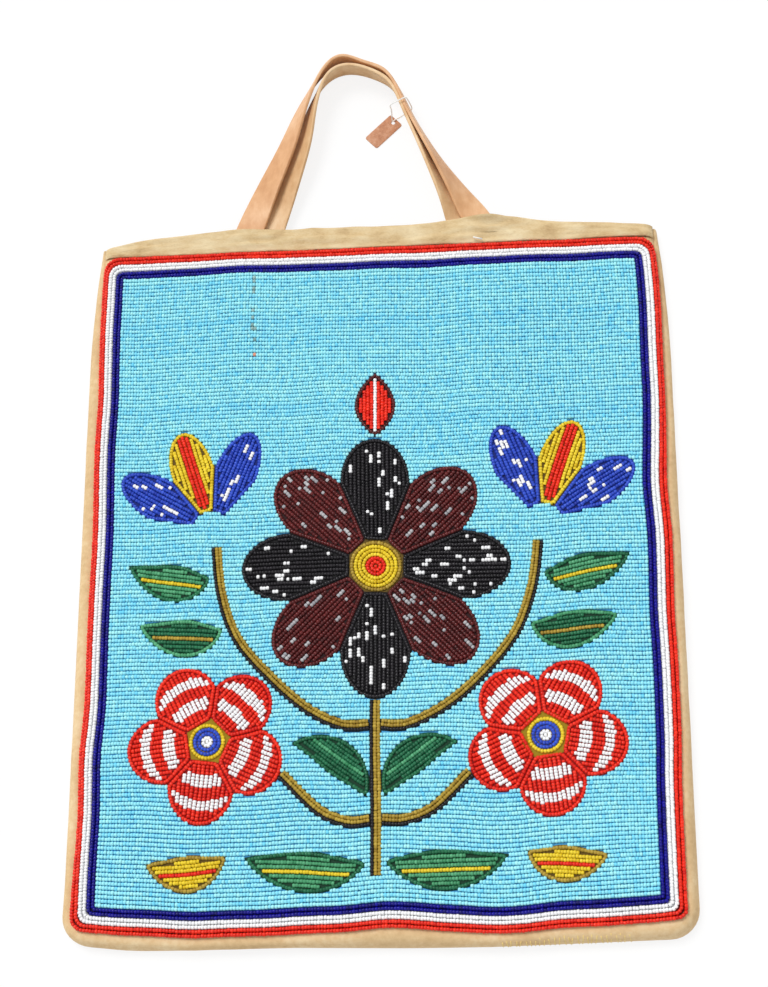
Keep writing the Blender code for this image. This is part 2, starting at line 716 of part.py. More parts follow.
# Sets the origin under the middle of the whole pouch, handles included
def centre_the_pouch():
    bpy.context.view_layer.update()
    graph = bpy.context.evaluated_depsgraph_get()
    corners = []
    for piece in pouch.objects:
        if piece.type == "MESH":
            seen = piece.evaluated_get(graph)
            corners += [seen.matrix_world @ Vector(corner) for corner in seen.bound_box]
    for axis in (0, 1):
        values = [corner[axis] for corner in corners]
        root.location[axis] -= (min(values) + max(values)) / 2


for leftover in list(bpy.data.objects):
    bpy.data.objects.remove(leftover)
pouch = new_collection("beaded_pouch")
cutters = new_collection("cutters")
holes = new_collection("field_holes")
root = bpy.data.objects.new("pouch_centre", None)
pouch.objects.link(root)
field_holes = []

make_back_panel()
make_front_panel()
make_hems()
make_border()
make_rosette()
for side, word in ((-1, "left"), (1, "right")):
    make_flower(side, word)
    make_tulip(side, word)
make_stems()
make_leaves()
make_field()
make_handles()
make_tag()
centre_the_pouch()
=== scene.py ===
# A flat beaded pouch on its back: bead rows strung one by one, rolled hide margins, creased
# hems, two strap handles and a blank tag on a thread. Metres, in the frame's own axes.
import math

import bmesh
import bpy
import numpy as np
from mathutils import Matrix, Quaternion, Vector, noise


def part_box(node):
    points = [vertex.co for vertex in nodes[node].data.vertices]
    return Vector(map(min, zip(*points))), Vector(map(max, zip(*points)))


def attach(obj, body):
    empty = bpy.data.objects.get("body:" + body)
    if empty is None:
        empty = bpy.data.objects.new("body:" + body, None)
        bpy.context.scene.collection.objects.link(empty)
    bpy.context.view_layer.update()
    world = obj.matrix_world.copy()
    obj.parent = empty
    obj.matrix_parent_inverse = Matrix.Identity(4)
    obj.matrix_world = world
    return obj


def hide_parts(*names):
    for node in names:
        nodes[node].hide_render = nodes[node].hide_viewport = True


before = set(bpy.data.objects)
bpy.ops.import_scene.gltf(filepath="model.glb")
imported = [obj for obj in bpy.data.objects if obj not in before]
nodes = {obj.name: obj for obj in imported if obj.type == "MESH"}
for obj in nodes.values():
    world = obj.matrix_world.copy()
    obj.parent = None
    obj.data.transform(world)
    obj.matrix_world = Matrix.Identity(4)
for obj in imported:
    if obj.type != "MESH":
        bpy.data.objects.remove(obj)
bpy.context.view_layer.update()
chance = np.random.default_rng(11)

# Places read off the frame. The beadwork is laid out from the bag's bottom edge
backLow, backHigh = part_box("back_panel")
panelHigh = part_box("front_panel")[1]
fieldLow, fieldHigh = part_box("bead_field")
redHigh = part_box("border_red")[1]
hemLow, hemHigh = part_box("mouth_hem_front")
innerHemLow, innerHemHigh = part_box("mouth_hem_back")
bagBottom = backLow.y
bagHalf = backHigh.x
mouth = panelHigh.y - bagBottom
sewnGap = hemLow.y - redHigh.y
fieldHalf = fieldHigh.x + sewnGap / 2
fieldStart = fieldLow.y - sewnGap / 2 - bagBottom
fieldEnd = fieldHigh.y + sewnGap / 2 - bagBottom
borderWide = redHigh.x + sewnGap / 2 - fieldHalf
hemInset = 0.0005  # from the ends of the front hem to the edge of the panel's flat part
plateauHalf = hemHigh.x + hemInset
beadTop = redHigh.z
panelTop = panelHigh.z


def linear(colour):
    shares = [value / 255 for value in colour]
    return tuple(s / 12.92 if s < 0.04045 else ((s + 0.055) / 1.055) ** 2.4 for s in shares) + (1.0,)


# A socket that takes part in sums
class Wire:
    def __init__(self, owner, socket):
        self.owner = owner
        self.socket = socket

    def sum(self, operation, first, second):
        return self.owner.node("ShaderNodeMath", {"operation": operation}, {0: first, 1: second})

    def __add__(self, other):
        return self.sum("ADD", self, other)

    def __radd__(self, other):
        return self.sum("ADD", other, self)

    def __sub__(self, other):
        return self.sum("SUBTRACT", self, other)

    def __rsub__(self, other):
        return self.sum("SUBTRACT", other, self)

    def __mul__(self, other):
        return self.sum("MULTIPLY", self, other)

    def __rmul__(self, other):
        return self.sum("MULTIPLY", other, self)


# The nodes of a material or of the world
class Nodes:
    def __init__(self, tree):
        self.tree = tree

    def node(self, kind, settings=None, inputs=None, output=0):
        made = self.tree.nodes.new(kind)
        for name, value in (settings or {}).items():
            if name == "stops":
                self.setStops(made.color_ramp, value)
            else:
                setattr(made, name, value)
        for key, value in (inputs or {}).items():
            self.feed(made.inputs[key], value)
        return Wire(self, made.outputs[output])

    def feed(self, socket, value):
        if isinstance(value, Wire):
            self.tree.links.new(value.socket, socket)
        else:
            socket.default_value = value

    def setStops(self, ramp, stops):
        while len(ramp.elements) < len(stops):
            ramp.elements.new(0.5)
        for element, (place, colour) in zip(ramp.elements, stops):
            element.position = place
            element.color = linear(colour)

    def noise(self, where, scale, detail=3.0, roughness=0.55):
        inputs = {"Vector": where, "Scale": scale, "Detail": detail, "Roughness": roughness}
        return self.node("ShaderNodeTexNoise", {}, inputs)

    def ramp(self, factor, stops):
        return self.node("ShaderNodeValToRGB", {"stops": stops}, {0: factor})

    def mix(self, factor, first, second):
        return self.node("ShaderNodeMix", {"data_type": "RGBA"}, {0: factor, 6: first, 7: second}, 2)

    def spread(self, value, low, high, newLow=0.0, newHigh=1.0):
        return self.node("ShaderNodeMapRange", {}, {0: value, 1: low, 2: high, 3: newLow, 4: newHigh})

    # Object coordinates, stretched
    def place(self, stretch=(1, 1, 1)):
        spot = self.node("ShaderNodeTexCoord", output=3)
        return self.node("ShaderNodeMapping", {}, {"Vector": spot, "Scale": stretch})

    def bump(self, height, distance, strength=1.0):
        inputs = {"Height": height, "Distance": distance, "Strength": strength}
        return self.node("ShaderNodeBump", {}, inputs)


# A material with the nodes that make its look
class Finish(Nodes):
    def __init__(self, name):
        self.material = bpy.data.materials.new(name)
        self.material.use_nodes = True
        super().__init__(self.material.node_tree)
        self.shader = self.tree.nodes["Principled BSDF"]

    def done(self, **sockets):
        for name, value in sockets.items():
            self.feed(self.shader.inputs[name.replace("_", " ")], value)
        return self.material


# Glass of the beads: its darkest and lightest shade and its roughness
glass = {
    "sky": ((116, 221, 255), (176, 250, 255), 0.3),
    "red": ((206, 18, 10), (252, 56, 34), 0.3),
    "white": ((246, 247, 250), (255, 255, 255), 0.3),
    "navy": ((5, 3, 84), (20, 16, 152), 0.27),
    "black": ((12, 11, 14), (36, 33, 38), 0.2),
    "oxblood": ((58, 16, 18), (104, 34, 34), 0.22),
    "yellow": ((214, 178, 18), (248, 222, 60), 0.3),
    "gold": ((138, 108, 30), (192, 164, 66), 0.3),
    "royal": ((26, 50, 160), (58, 92, 214), 0.25),
    "green": ((48, 128, 84), (96, 178, 130), 0.28),
    "deepGreen": ((16, 78, 50), (44, 122, 84), 0.25),
    "grey": ((150, 150, 156), (196, 194, 196), 0.3),
    "coral": ((222, 124, 96), (244, 160, 128), 0.3),
    "stained": ((124, 162, 162), (164, 200, 196), 0.4),
}
glassNames = list(glass)
beadGloss = 0.24
roughnessSpread = 0.06  # up and down from a glass's own, from its dark beads to its light ones


# Shade by shade: each bead carries its own number in beadTint
def makeGlass(name):
    dark, light, roughness = glass[name]
    finish = Finish(name + "Glass")
    tint = finish.node("ShaderNodeAttribute", {"attribute_name": "beadTint"}, output=2)
    colour = finish.ramp(tint, ((0.0, dark), (0.85, light), (1.0, light)))
    finish.shader.inputs["Specular IOR Level"].default_value = beadGloss
    rough = finish.spread(tint, 0.0, 1.0, roughness + roughnessSpread, roughness - roughnessSpread)
    return finish.done(Base_Color=colour, Roughness=rough)


glassMaterials = {name: makeGlass(name) for name in glassNames}
print("glass finishes made:", len(glassMaterials))


def newObject(name, data):
    made = bpy.data.objects.new(name, data)
    bpy.context.scene.collection.objects.link(made)
    return made


def pieceFrom(name, bm, finishes):
    mesh = bpy.data.meshes.new(name)
    bm.to_mesh(mesh)
    bm.free()
    mesh.shade_smooth()
    for finish in finishes:
        mesh.materials.append(finish)
    return newObject(name, mesh)


# Every piece rides the one body; most stand for nodes of the solid model
def entered(piece, slotName, *replaced):
    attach(piece, "root")
    if replaced:
        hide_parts(*replaced)
    return piece


def addWall(piece, thickness):
    wall = piece.modifiers.new("wall", "SOLIDIFY")
    wall.thickness = thickness
    wall.offset = -1


# Turns an open sheet so that its highest face looks up
def faceUp(bm):
    bmesh.ops.recalc_face_normals(bm, faces=bm.faces)
    if max(bm.faces, key=lambda face: face.calc_center_median().z).normal.z < 0:
        bmesh.ops.reverse_faces(bm, faces=bm.faces)


def vertsIn(made):
    return [item for item in made if isinstance(item, bmesh.types.BMVert)]


def noiseAt(*place):
    return noise.noise(Vector(place))


# How the sewn cloth lies. Rows sway a little, the edges of the beadwork wander outwards or
# inwards, and the side borders roll over towards the seam
lie = {
    "sway": 0.00042,
    # Waves: share, radians a metre along x and y, start
    "swayAcross": ((0.5, 0, 41, 0.6), (0.3, 6, 97, 1.9)),
    "swayUp": ((1.0, 43, 9, 1.1), (0.7, 96, -14, 0.3), (0.4, 171, 21, 0.0)),
    "calmToMouth": 0.03,  # the rows stop swaying over this length
    "swell": 0.0004,
    "swellWaves": ((23, 0.4), (17, 1.0), (61, 38)),  # along x, along y, slanting
    "fadeIn": 0.075,  # reach of an edge's wander into the field
    "rollStart": 0.006,  # from the field's edge
    "rollRadius": 0.0055,
    "rightRollFrom": 0.205,
    "rollFade": 0.05,
}
# Along each edge: place and distance outwards in millimetres
wander = {
    "left": (
        (0, 1.0), (28, 1.0), (60, 0.2), (86, 0.8), (109, -1.0), (140, -0.2), (195, -0.4),
        (240, 0.0), (263, -0.5), (300, 0.3), (325, 0.5), (345, 0.0),
    ),
    "right": (
        (0, -0.3), (50, -0.5), (70, 0.0), (90, 1.2), (130, 1.0), (150, 0.5), (190, 0.9),
        (212, 0.0), (236, 1.3), (258, 2.2), (300, 2.0), (325, 1.2), (345, 0.0),
    ),
    "bottom": (
        (-139, -0.4), (-128, 0.6), (-111, 2.0), (-57, 2.2), (-20, 0.9), (0, -0.2), (16, 0.3),
        (50, 1.9), (69, 1.2), (87, -0.4), (104, -1.5), (125, -2.0), (139, -3.6),
    ),
    "seam": (
        (-141, -3.0), (-130, -2.0), (-112, 0.0), (-90, 0.0), (-40, -0.9), (16, -0.2),
        (50, -0.4), (87, -1.6), (122, -2.9), (141, -3.5),
    ),
}
wanderRange = (-170.0, 381.0)  # millimetres that the curves cover, past every edge


# A smooth step from 0 to 1
def eased(value):
    share = np.clip(value, 0.0, 1.0)
    return share * share * (3 - 2 * share)


# The wander of one edge as a smooth curve, in metres
def smoothWander(points, window=15):
    place, out = np.array(points, float).T
    fine = np.arange(*wanderRange)
    padded = np.pad(np.interp(fine, place, out), window // 2, mode="edge")
    return fine / 1000, np.convolve(padded, np.ones(window) / window, "valid") / 1000


wanderCurves = {edge: smoothWander(points) for edge, points in wander.items()}


def wanderAt(edge, place):
    return np.interp(place, *wanderCurves[edge])


def waved(waves, x, y):
    return lie["sway"] * sum(share * np.sin(byX * x + byY * y + start) for share, byX, byY, start in waves)


# Where a point of the flat pattern comes to lie, and how far it drops in the side rolls
def settled(x, y):
    fromMiddle = fieldHalf - lie["fadeIn"]
    newX = x + wanderAt("right", y) * eased((x - fromMiddle) / lie["fadeIn"])
    newX = newX - wanderAt("left", y) * eased((-x - fromMiddle) / lie["fadeIn"])
    newX = newX + waved(lie["swayAcross"], x, y)
    over = np.maximum(np.abs(x) - fieldHalf - lie["rollStart"], 0.0)
    strength = np.where(x > 0, eased((y - lie["rightRollFrom"]) / lie["rollFade"]), 1.0)
    strength = strength * eased(y / lie["rollFade"])
    angle = over * strength / lie["rollRadius"]
    newX = newX - np.sign(x) * over * angle ** 2 / 6
    drop = over * angle / 2 * (1 - angle ** 2 / 12)
    low = 1 - eased((y - fieldStart) / lie["fadeIn"])
    newY = y - wanderAt("bottom", x) * low
    newY = newY + eased((mouth - y) / lie["calmToMouth"]) * waved(lie["swayUp"], x, y)
    return newX, newY, drop


# How far the cloth swells or sinks, in broad waves
def swell(x, y):
    (byX, startX), (byY, startY), (slantX, slantY) = lie["swellWaves"]
    broad = np.sin(byX * x + startX) * np.sin(byY * y + startY)
    return lie["swell"] * (broad + 0.5 * np.sin(slantX * x + slantY * y))


# One vertex of the flat pattern, laid
def laid(x, y, z, share=1.0):
    newX, newY, drop = settled(np.float64(x), np.float64(y))
    rise = swell(np.float64(x), np.float64(y)) - drop
    flat = Vector((x, y + bagBottom, z))
    return flat + (Vector((newX, newY + bagBottom, z + rise)) - flat) * share


# A smooth curve through points, in even steps as measured over their first coordinates
def smoothThrough(points, steps, measured=2, fineSteps=12):
    route = np.array(points, float)
    ends = np.vstack([route[:1], route, route[-1:]])
    fine = []
    for p, q, r, s in zip(ends, ends[1:], ends[2:], ends[3:]):
        for k in range(fineSteps):
            t = k / fineSteps
            fine.append(
                0.5 * (2 * q + (r - p) * t + (2 * p - 5 * q + 4 * r - s) * t ** 2
                       + (3 * q - p - 3 * r + s) * t ** 3)
            )
    fine = np.array(fine + [route[-1]])
    gone = np.concatenate([[0.0], np.cumsum(np.linalg.norm(np.diff(fine[:, :measured], axis=0), axis=1))])
    wanted = np.linspace(0.0, gone[-1], steps + 1)
    return np.stack([np.interp(wanted, gone, fine[:, k]) for k in range(fine.shape[1])], 1)


# Which of the points lie inside an outline
def insideOf(points, outline):
    corners = np.array(outline)
    found = np.zeros(len(points), bool)
    near = np.all((points > corners.min(0)) & (points < corners.max(0)), 1)
    x, y = points[near].T
    hit = np.zeros(len(x), bool)
    for a, b in zip(corners, np.roll(corners, -1, 0)):
        if a[1] != b[1]:
            crosses = (a[1] > y) != (b[1] > y)
            hit ^= crosses & (x < (b[0] - a[0]) * (y - a[1]) / (b[1] - a[1]) + a[0])
    found[near] = hit
    return found


def unit(ways):
    return ways / np.linalg.norm(ways, axis=1)[:, None]


# Each way turned to its right, at length 1
def rightOf(ways):
    return unit(ways) @ np.array([(0, -1), (1, 0)])


# The outline moved outwards all round, or inwards for a distance below zero
def grown(outline, distance):
    corners = np.array(outline, float)
    after = np.roll(corners, -1, 0)
    area = np.sum(corners[:, 0] * after[:, 1] - after[:, 0] * corners[:, 1])
    outwards = rightOf(after - corners) * np.sign(area)
    before = np.roll(outwards, 1, 0)
    spread = np.maximum(1 + np.sum(outwards * before, 1), 0.5)
    return corners + (outwards + before) * (distance / spread)[:, None]


beads = {
    "rowPitch": 0.00198,
    "pitch": 0.00145,
    "fill": 0.985,  # length of a bead as a share of its pitch
    "radius": 0.00104,
    "endShare": 0.76,  # radius at the thread hole as a share of the full radius
    "sides": 5,
    "lowestCorner": -30,  # degrees; the underside between the first and last corner is flat
    "sizeSpread": 0.045,
    "turnSpread": 0.06,
    "heightSpread": 0.00005,
    "placeSpread": 0.00005,
    "longest": 0.00185,
    "tintSpread": 0.17,
    "rowTintSpread": 0.08,
    "shortestRun": 0.6,  # a run below this share of the pitch gets no bead
    "closer": 0.96,  # rows of the motifs, as a share of the row pitch
    "shapeInset": 1.3,  # pitches from a motif's outline to the ends of its inner rows
    "runOn": 0.3,  # pitches that these rows run on by
    "sideShare": 0.3,  # pitches left free beside the outermost of them
    "leastRing": 0.45,  # pitches
    "eyeHalf": 0.0007,  # half the length of the run in the middle of an eye
    "step": 0.0002,  # fineness at which a row finds the ends of its runs
    "cellShare": 0.35,  # size of a bead on the UV square, in its own cell
    "cellShear": 0.2,
}
closePitch = beads["rowPitch"] * beads["closer"]


# One bead: a short barrel with a flat underside, its thread along X
def makeBeadShape():
    bm = bmesh.new()
    bmesh.ops.create_circle(bm, cap_ends=True, segments=beads["sides"], radius=1.0)
    step = (180 - 2 * beads["lowestCorner"]) / (beads["sides"] - 1)
    bm.verts.ensure_lookup_table()
    for k, corner in enumerate(bm.verts):
        a = math.radians(beads["lowestCorner"] + k * step)
        corner.co = Vector((-0.5, math.cos(a), math.sin(a)))
    bmesh.ops.scale(bm, vec=(1, beads["endShare"], beads["endShare"]), verts=bm.verts)
    for grow in (1 / beads["endShare"], beads["endShare"]):
        last = max(bm.faces, key=lambda face: face.calc_center_median().x)
        pushed = bmesh.ops.extrude_face_region(bm, geom=[last])["geom"]
        bmesh.ops.delete(bm, geom=[last], context="FACES_ONLY")
        ring = vertsIn(pushed)
        bmesh.ops.translate(bm, vec=(0.5, 0, 0), verts=ring)
        bmesh.ops.scale(bm, vec=(1, grow, grow), verts=ring)
    bmesh.ops.recalc_face_normals(bm, faces=bm.faces)
    points = np.array([corner.co for corner in bm.verts])
    faces = [[corner.index for corner in face.verts] for face in bm.faces]
    bm.free()
    return points, faces


beadPoints, beadFaces = makeBeadShape()


# The beads flattened into rows of cells on the UV square, one cell each
def beadCells(count):
    columns = math.ceil(math.sqrt(count))
    cell = np.stack([np.arange(count) % columns, np.arange(count) // columns], 1) + 0.5
    x, y, z = beadPoints.T
    shear = beads["cellShear"]
    shrunk = beads["cellShare"] * np.stack([(1 - shear) * x + shear * z, y / 2 + shear * z], 1)
    return ((cell[:, None, :] + shrunk[None]) / columns).reshape(-1, 2)


# Beads gathered for one piece: where each lies, the way it is strung, its length and glass
class Beadwork:
    def __init__(self, name, replaced, slotName):
        self.name = name
        self.replaced = replaced
        self.slotName = slotName
        self.runs = []  # places, ways, lengths, glasses and tints, run by run

    # Strings beads evenly along a line; paint gives the glass of the bead at each place
    def string(self, line, paint, looped=False):
        route = np.array(line, float)
        if looped:
            route = np.vstack([route, route[:1]])
        steps = np.linalg.norm(np.diff(route, axis=0), axis=1)
        gone = np.concatenate([[0.0], np.cumsum(steps)])
        if gone[-1] < beads["shortestRun"] * beads["pitch"]:
            return
        count = max(1, round(gone[-1] / beads["pitch"]))
        spacing = gone[-1] / count
        at = (np.arange(count) + 0.5) * spacing
        before, places, after = (
            np.stack([np.interp(at + ahead, gone, route[:, k]) for k in (0, 1)], 1)
            for ahead in (-0.4 * spacing, 0.0, 0.4 * spacing)
        )
        lengths = np.full(count, min(spacing * beads["fill"], beads["longest"]))
        kinds = np.array([glassNames.index(name) for name in paint(places)])
        rowTint = chance.normal(0.0, beads["rowTintSpread"])
        tints = np.clip(chance.normal(0.5, beads["tintSpread"], count) + rowTint, 0.0, 1.0)
        self.runs.append((places, unit(after - before), lengths, kinds, tints))

    def count(self):
        return sum(len(run[0]) for run in self.runs)

    def make(self):
        places, ways, lengths, kinds, tints = (np.concatenate(column) for column in zip(*self.runs))
        count = len(places)
        ahead = places + ways * beads["pitch"]
        x, y, drop = settled(*places.T)
        aheadX, aheadY, _ = settled(*ahead.T)
        turn = np.arctan2(aheadY - y, aheadX - x) + chance.normal(0, beads["turnSpread"], count)
        size = 1 + chance.normal(0, beads["sizeSpread"], (count, 2))
        radius = beads["radius"] * size[:, 0]
        height = beadTop - beads["radius"] + swell(*places.T) - drop
        height = height + chance.normal(0, beads["heightSpread"], count)
        across = beadPoints[None, :, 1] * radius[:, None]
        along = beadPoints[None, :, 0] * lengths[:, None]
        slip = chance.normal(0, beads["placeSpread"], (count, 2))
        c, s = np.cos(turn)[:, None], np.sin(turn)[:, None]
        corners = np.stack([
            (x + slip[:, 0])[:, None] + along * c - across * s,
            (y + slip[:, 1])[:, None] + along * s + across * c + bagBottom,
            height[:, None] + beadPoints[None, :, 2] * radius[:, None],
        ], 2)
        perBead = len(beadPoints)
        loops = np.concatenate([np.array(face) for face in beadFaces])
        sizes = np.array([len(face) for face in beadFaces])
        starts = np.cumsum(sizes) - sizes
        mesh = bpy.data.meshes.new(self.name)
        mesh.vertices.add(count * perBead)
        mesh.loops.add(count * len(loops))
        mesh.polygons.add(count * len(sizes))
        each = np.arange(count)[:, None]  # faces repeat bead by bead, the corners counting on
        mesh.vertices.foreach_set("co", corners.astype(np.float32).ravel())
        corner = (loops[None] + each * perBead).ravel()
        mesh.loops.foreach_set("vertex_index", corner)
        mesh.polygons.foreach_set("loop_start", (starts[None] + each * len(loops)).ravel())
        used = sorted(set(kinds))
        slots = np.array([used.index(k) if k in used else 0 for k in range(len(glassNames))])
        mesh.polygons.foreach_set("material_index", np.repeat(slots[kinds], len(sizes)))
        mesh.update(calc_edges=True)
        mesh.shade_smooth()
        tint = mesh.attributes.new("beadTint", "FLOAT", "POINT")
        tint.data.foreach_set("value", np.repeat(tints, perBead).astype(np.float32))
        layer = mesh.uv_layers.new(name="OFBake")
        layer.data.foreach_set("uv", beadCells(count)[corner].astype(np.float32).ravel())
        for k in used:
            mesh.materials.append(glassMaterials[glassNames[k]])
        return entered(newObject(self.name, mesh), self.slotName, *self.replaced)


# Sizes and places of the design's shapes, as in the solid model
design = {
    "petalGap": 0.0003,
    "rosettePlace": (0.0, 0.176), "rosettePetals": 8, "rosetteEye": 0.0125,
    "rosetteShoulder": 0.041, "rosetteReach": 0.064,
    "flowerPlace": (0.078, 0.094), "flowerPetals": 5, "flowerEye": 0.0085,
    "flowerShoulder": 0.0215, "flowerReach": 0.0375, "flowerTurn": math.radians(205),
    "tulipPlace": (0.079, 0.196), "tulipTurn": math.radians(72), "tulipSector": 9,
    "tulipStart": 0.009, "tulipShoulder": 0.030, "tulipReach": 0.052,
    "bandWidth": 0.0052,  # of the flowers' red and white
    "stemWidth": 0.0052, "stemRoot": 0.031, "leafFullness": 0.8,
    "rosetteFlecks": (0.05, 0.07, 0.09), "tulipFlecks": 0.07,  # chance of one, row by row
    # Bends of the stems on the right, after their start level with the first one
    "lowStem": ((0.013, 0.056), (0.027, 0.062)),
    "highStem": (
        (0.015, 0.100), (0.033, 0.1085), (0.0495, 0.1235), (0.0655, 0.143),
        (0.0735, 0.165), (0.0765, 0.187),
    ),
    # Leaves and buds: base, bend, tip and width
    "rootLeaf": ((0.0040, 0.0370), (0.030, 0.0290), (0.0600, 0.0420), 0.0180),
    "middleLeaf": ((0.0040, 0.0665), (0.012, 0.0905), (0.0385, 0.0915), 0.0165),
    "sideLeaf": ((0.0722, 0.1475), (0.0880, 0.1370), (0.1130, 0.1500), 0.0180),
    "outerLeaf": ((0.0788, 0.1720), (0.0940, 0.1640), (0.1190, 0.1790), 0.0180),
    "lowBud": ((0.0680, 0.0430), (0.084, 0.0300), (0.1050, 0.0390), 0.0165),
    "topBud": ((0.0, 0.2412), (0.0, 0.256), (0.0, 0.274), 0.020),
}
bothSides = ((-1, "left"), (1, "right"))
fieldHoles = []  # outlines that the sky-blue rows stop at
groundShades = []  # outlines of the dark sheets of painted shade under the motifs, with their glass


def petalOutline(place, turn, sector, start, shoulder, reach):
    slope = math.tan(math.pi / sector)
    spare = design["petalGap"] / 2 / math.cos(math.pi / sector)
    half = shoulder * slope - spare
    tip = [
        (shoulder + (reach - shoulder) * math.cos(a), half * math.sin(a))
        for a in np.linspace(-math.pi / 2, math.pi / 2, 17)
    ]
    local = np.array([(start, spare - start * slope)] + tip + [(start, start * slope - spare)])
    c, s = math.cos(turn), math.sin(turn)
    return np.array(place) + local @ np.array([(c, s), (-s, c)])


def leafOutline(base, bend, tip, width, side=1, steps=16):
    t = np.linspace(0.0, 1.0, steps + 1)[:, None]
    axis = (1 - t) ** 2 * np.array(base) + 2 * t * (1 - t) * np.array(bend) + t ** 2 * np.array(tip)
    out = rightOf(np.gradient(axis, axis=0)) * width / 2 * np.sin(math.pi * t) ** design["leafFullness"]
    return np.vstack([axis[:1], (axis + out)[1:-1], axis[-1:], (axis - out)[-2:0:-1]]) * (side, 1)


def circleRound(place, radius, corners):
    turns = np.linspace(0, 2 * math.pi, corners + 1)[:-1]
    return np.array(place) + radius * np.stack([np.cos(turns), np.sin(turns)], 1)


# Notes an outline that the sky-blue rows stop at, and the glass whose dark is painted as shade under it
def opened(outline, glassName):
    fieldHoles.append(outline)
    groundShades.append((outline, glassName))


def plain(name):
    return lambda places: [name] * len(places)


# Mostly one glass, with short runs of another
def flecked(name, fleck, share):
    def paint(places):
        found = []
        run = 0
        for _ in places:
            if run == 0 and chance.random() < share:
                run = int(chance.integers(1, 4))
            found.append(fleck if run > 0 else name)
            run = max(run - 1, 0)
        return found
    return paint


# Bands across a petal, counted from its flower's middle
def banded(middle, first, second, width):
    def paint(places):
        away = np.linalg.norm(places - np.array(middle), axis=1)
        return [second if int(a / width) % 2 else first for a in away]
    return paint


# A row along the outline, then straight rows inside it; inner gives the paint of each row
def beadShape(work, outline, turn, groundShade, edge, inner):
    work.string(grown(outline, -closePitch / 2), plain(edge), looped=True)
    room = grown(outline, -beads["shapeInset"] * closePitch)
    c, s = math.cos(turn), math.sin(turn)
    toLocal = np.array([(c, -s), (s, c)])
    local = room @ toLocal
    low, high = local.min(0), local.max(0)
    middle = (high[1] + low[1]) / 2
    half = (high[1] - low[1]) / 2
    rows = max(round(half / closePitch - beads["sideShare"]), 0)
    spacing = half / (rows + beads["sideShare"])
    stretch = np.arange(low[0] - 5 * beads["step"], high[0] + 5 * beads["step"], beads["step"])
    for row in range(-rows, rows + 1):
        line = np.stack([stretch, np.full(len(stretch), middle + row * spacing)], 1)
        for start, end in runsOf(insideOf(line, local)):
            ends = np.array([line[start], line[end]])
            ends[:, 0] += np.array([-1, 1]) * beads["runOn"] * closePitch
            work.string(ends @ toLocal.T, inner(row))
    # the motif's glass, darkened, is painted as shade under its beads
    opened(outline, groundShade)


# Stretches of True in a list, as first and last place
def runsOf(flags):
    edges = np.flatnonzero(np.diff(np.concatenate([[0], flags.astype(int), [0]])))
    return [(a, b - 1) for a, b in zip(edges[::2], edges[1::2]) if b - a > 2]


def beadEye(work, place, radius, petals, paints):
    ring = 0
    away = radius - closePitch / 2
    while away > closePitch * beads["leastRing"]:
        paint = plain(paints[min(ring, len(paints) - 1)])
        work.string(circleRound(place, away, 48), paint, looped=True)
        ring += 1
        away -= closePitch
    half = (beads["eyeHalf"], 0)
    work.string([np.subtract(place, half), np.add(place, half)], plain(paints[-1]))
    corner = (radius + design["petalGap"]) / math.cos(math.pi / petals)
    opened(circleRound(place, corner, 40), paints[0])


# A stem: a black row on its shaded side and two gold ones
def beadStem(work, path, shadeSide=1):
    sides = rightOf(np.gradient(path, axis=0))
    pitch = design["stemWidth"] / 3
    for row, name in ((-1, "black"), (0, "gold"), (1, "gold")):
        work.string(path + sides * row * shadeSide * pitch, plain(name))
    out = sides * design["stemWidth"] / 2
    opened(np.vstack([path + out, (path - out)[::-1]]), "black")


def sideTurn(turn, side):
    return turn if side > 0 else math.pi - turn


# One petal of the rosette or of a flower, whose names in the design start with kind
def petalOf(kind, place, turn):
    eye, shoulder, reach = (design[kind + part] for part in ("Eye", "Shoulder", "Reach"))
    return petalOutline(place, turn, design[kind + "Petals"], eye + design["petalGap"], shoulder, reach)


def makeRosette():
    petals = design["rosettePetals"]
    names = [f"rosette_petal_{k + 1}" for k in range(petals)] + ["rosette_eye"]
    work = Beadwork("beads_rosette", names, "black_beads")
    shares = design["rosetteFlecks"]
    for k in range(petals):
        turn = math.pi / 2 - 2 * math.pi * k / petals
        groundShade, fleck = ("oxblood", "grey") if k % 2 else ("black", "white")
        beadShape(
            work, petalOf("rosette", design["rosettePlace"], turn), turn, groundShade, groundShade,
            lambda row: flecked(groundShade, fleck, shares[row % len(shares)]),
        )
    beadEye(
        work, design["rosettePlace"], design["rosetteEye"], petals,
        ("gold", "yellow", "yellow", "yellow", "red", "red"),
    )
    return work


def makeFlower(side, word):
    petals = design["flowerPetals"]
    place = np.array(design["flowerPlace"]) * (side, 1)
    names = [f"flower_petal_{word}_{k + 1}" for k in range(petals)] + ["flower_eye_" + word]
    work = Beadwork("beads_flower_" + word, names, "red_beads")
    bands = banded(place, "red", "white", design["bandWidth"])
    for k in range(petals):
        turn = sideTurn(design["flowerTurn"] + 2 * math.pi * k / petals, side)
        beadShape(work, petalOf("flower", place, turn), turn, "red", "red", lambda row: bands)
    beadEye(work, place, design["flowerEye"], petals, ("yellow", "royal", "royal", "white"))
    return work


def makeTulip(side, word):
    place = np.array(design["tulipPlace"]) * (side, 1)
    work = Beadwork("beads_tulip_" + word, [f"tulip_petal_{word}_{k}" for k in (1, 2, 3)], "royal_beads")
    outer = ("royal", "royal", lambda row: flecked("royal", "white", design["tulipFlecks"]))
    inner = ("gold", "yellow", lambda row: plain("red" if abs(row) < 2 else "yellow"))
    sizes = (design["tulip" + part] for part in ("Sector", "Start", "Shoulder", "Reach"))
    sector, start, shoulder, reach = sizes
    for k, looks in ((-1, outer), (0, inner), (1, outer)):
        turn = sideTurn(design["tulipTurn"] + k * 2 * math.pi / sector, side)
        beadShape(work, petalOutline(place, turn, sector, start, shoulder, reach), turn, *looks)
    return work


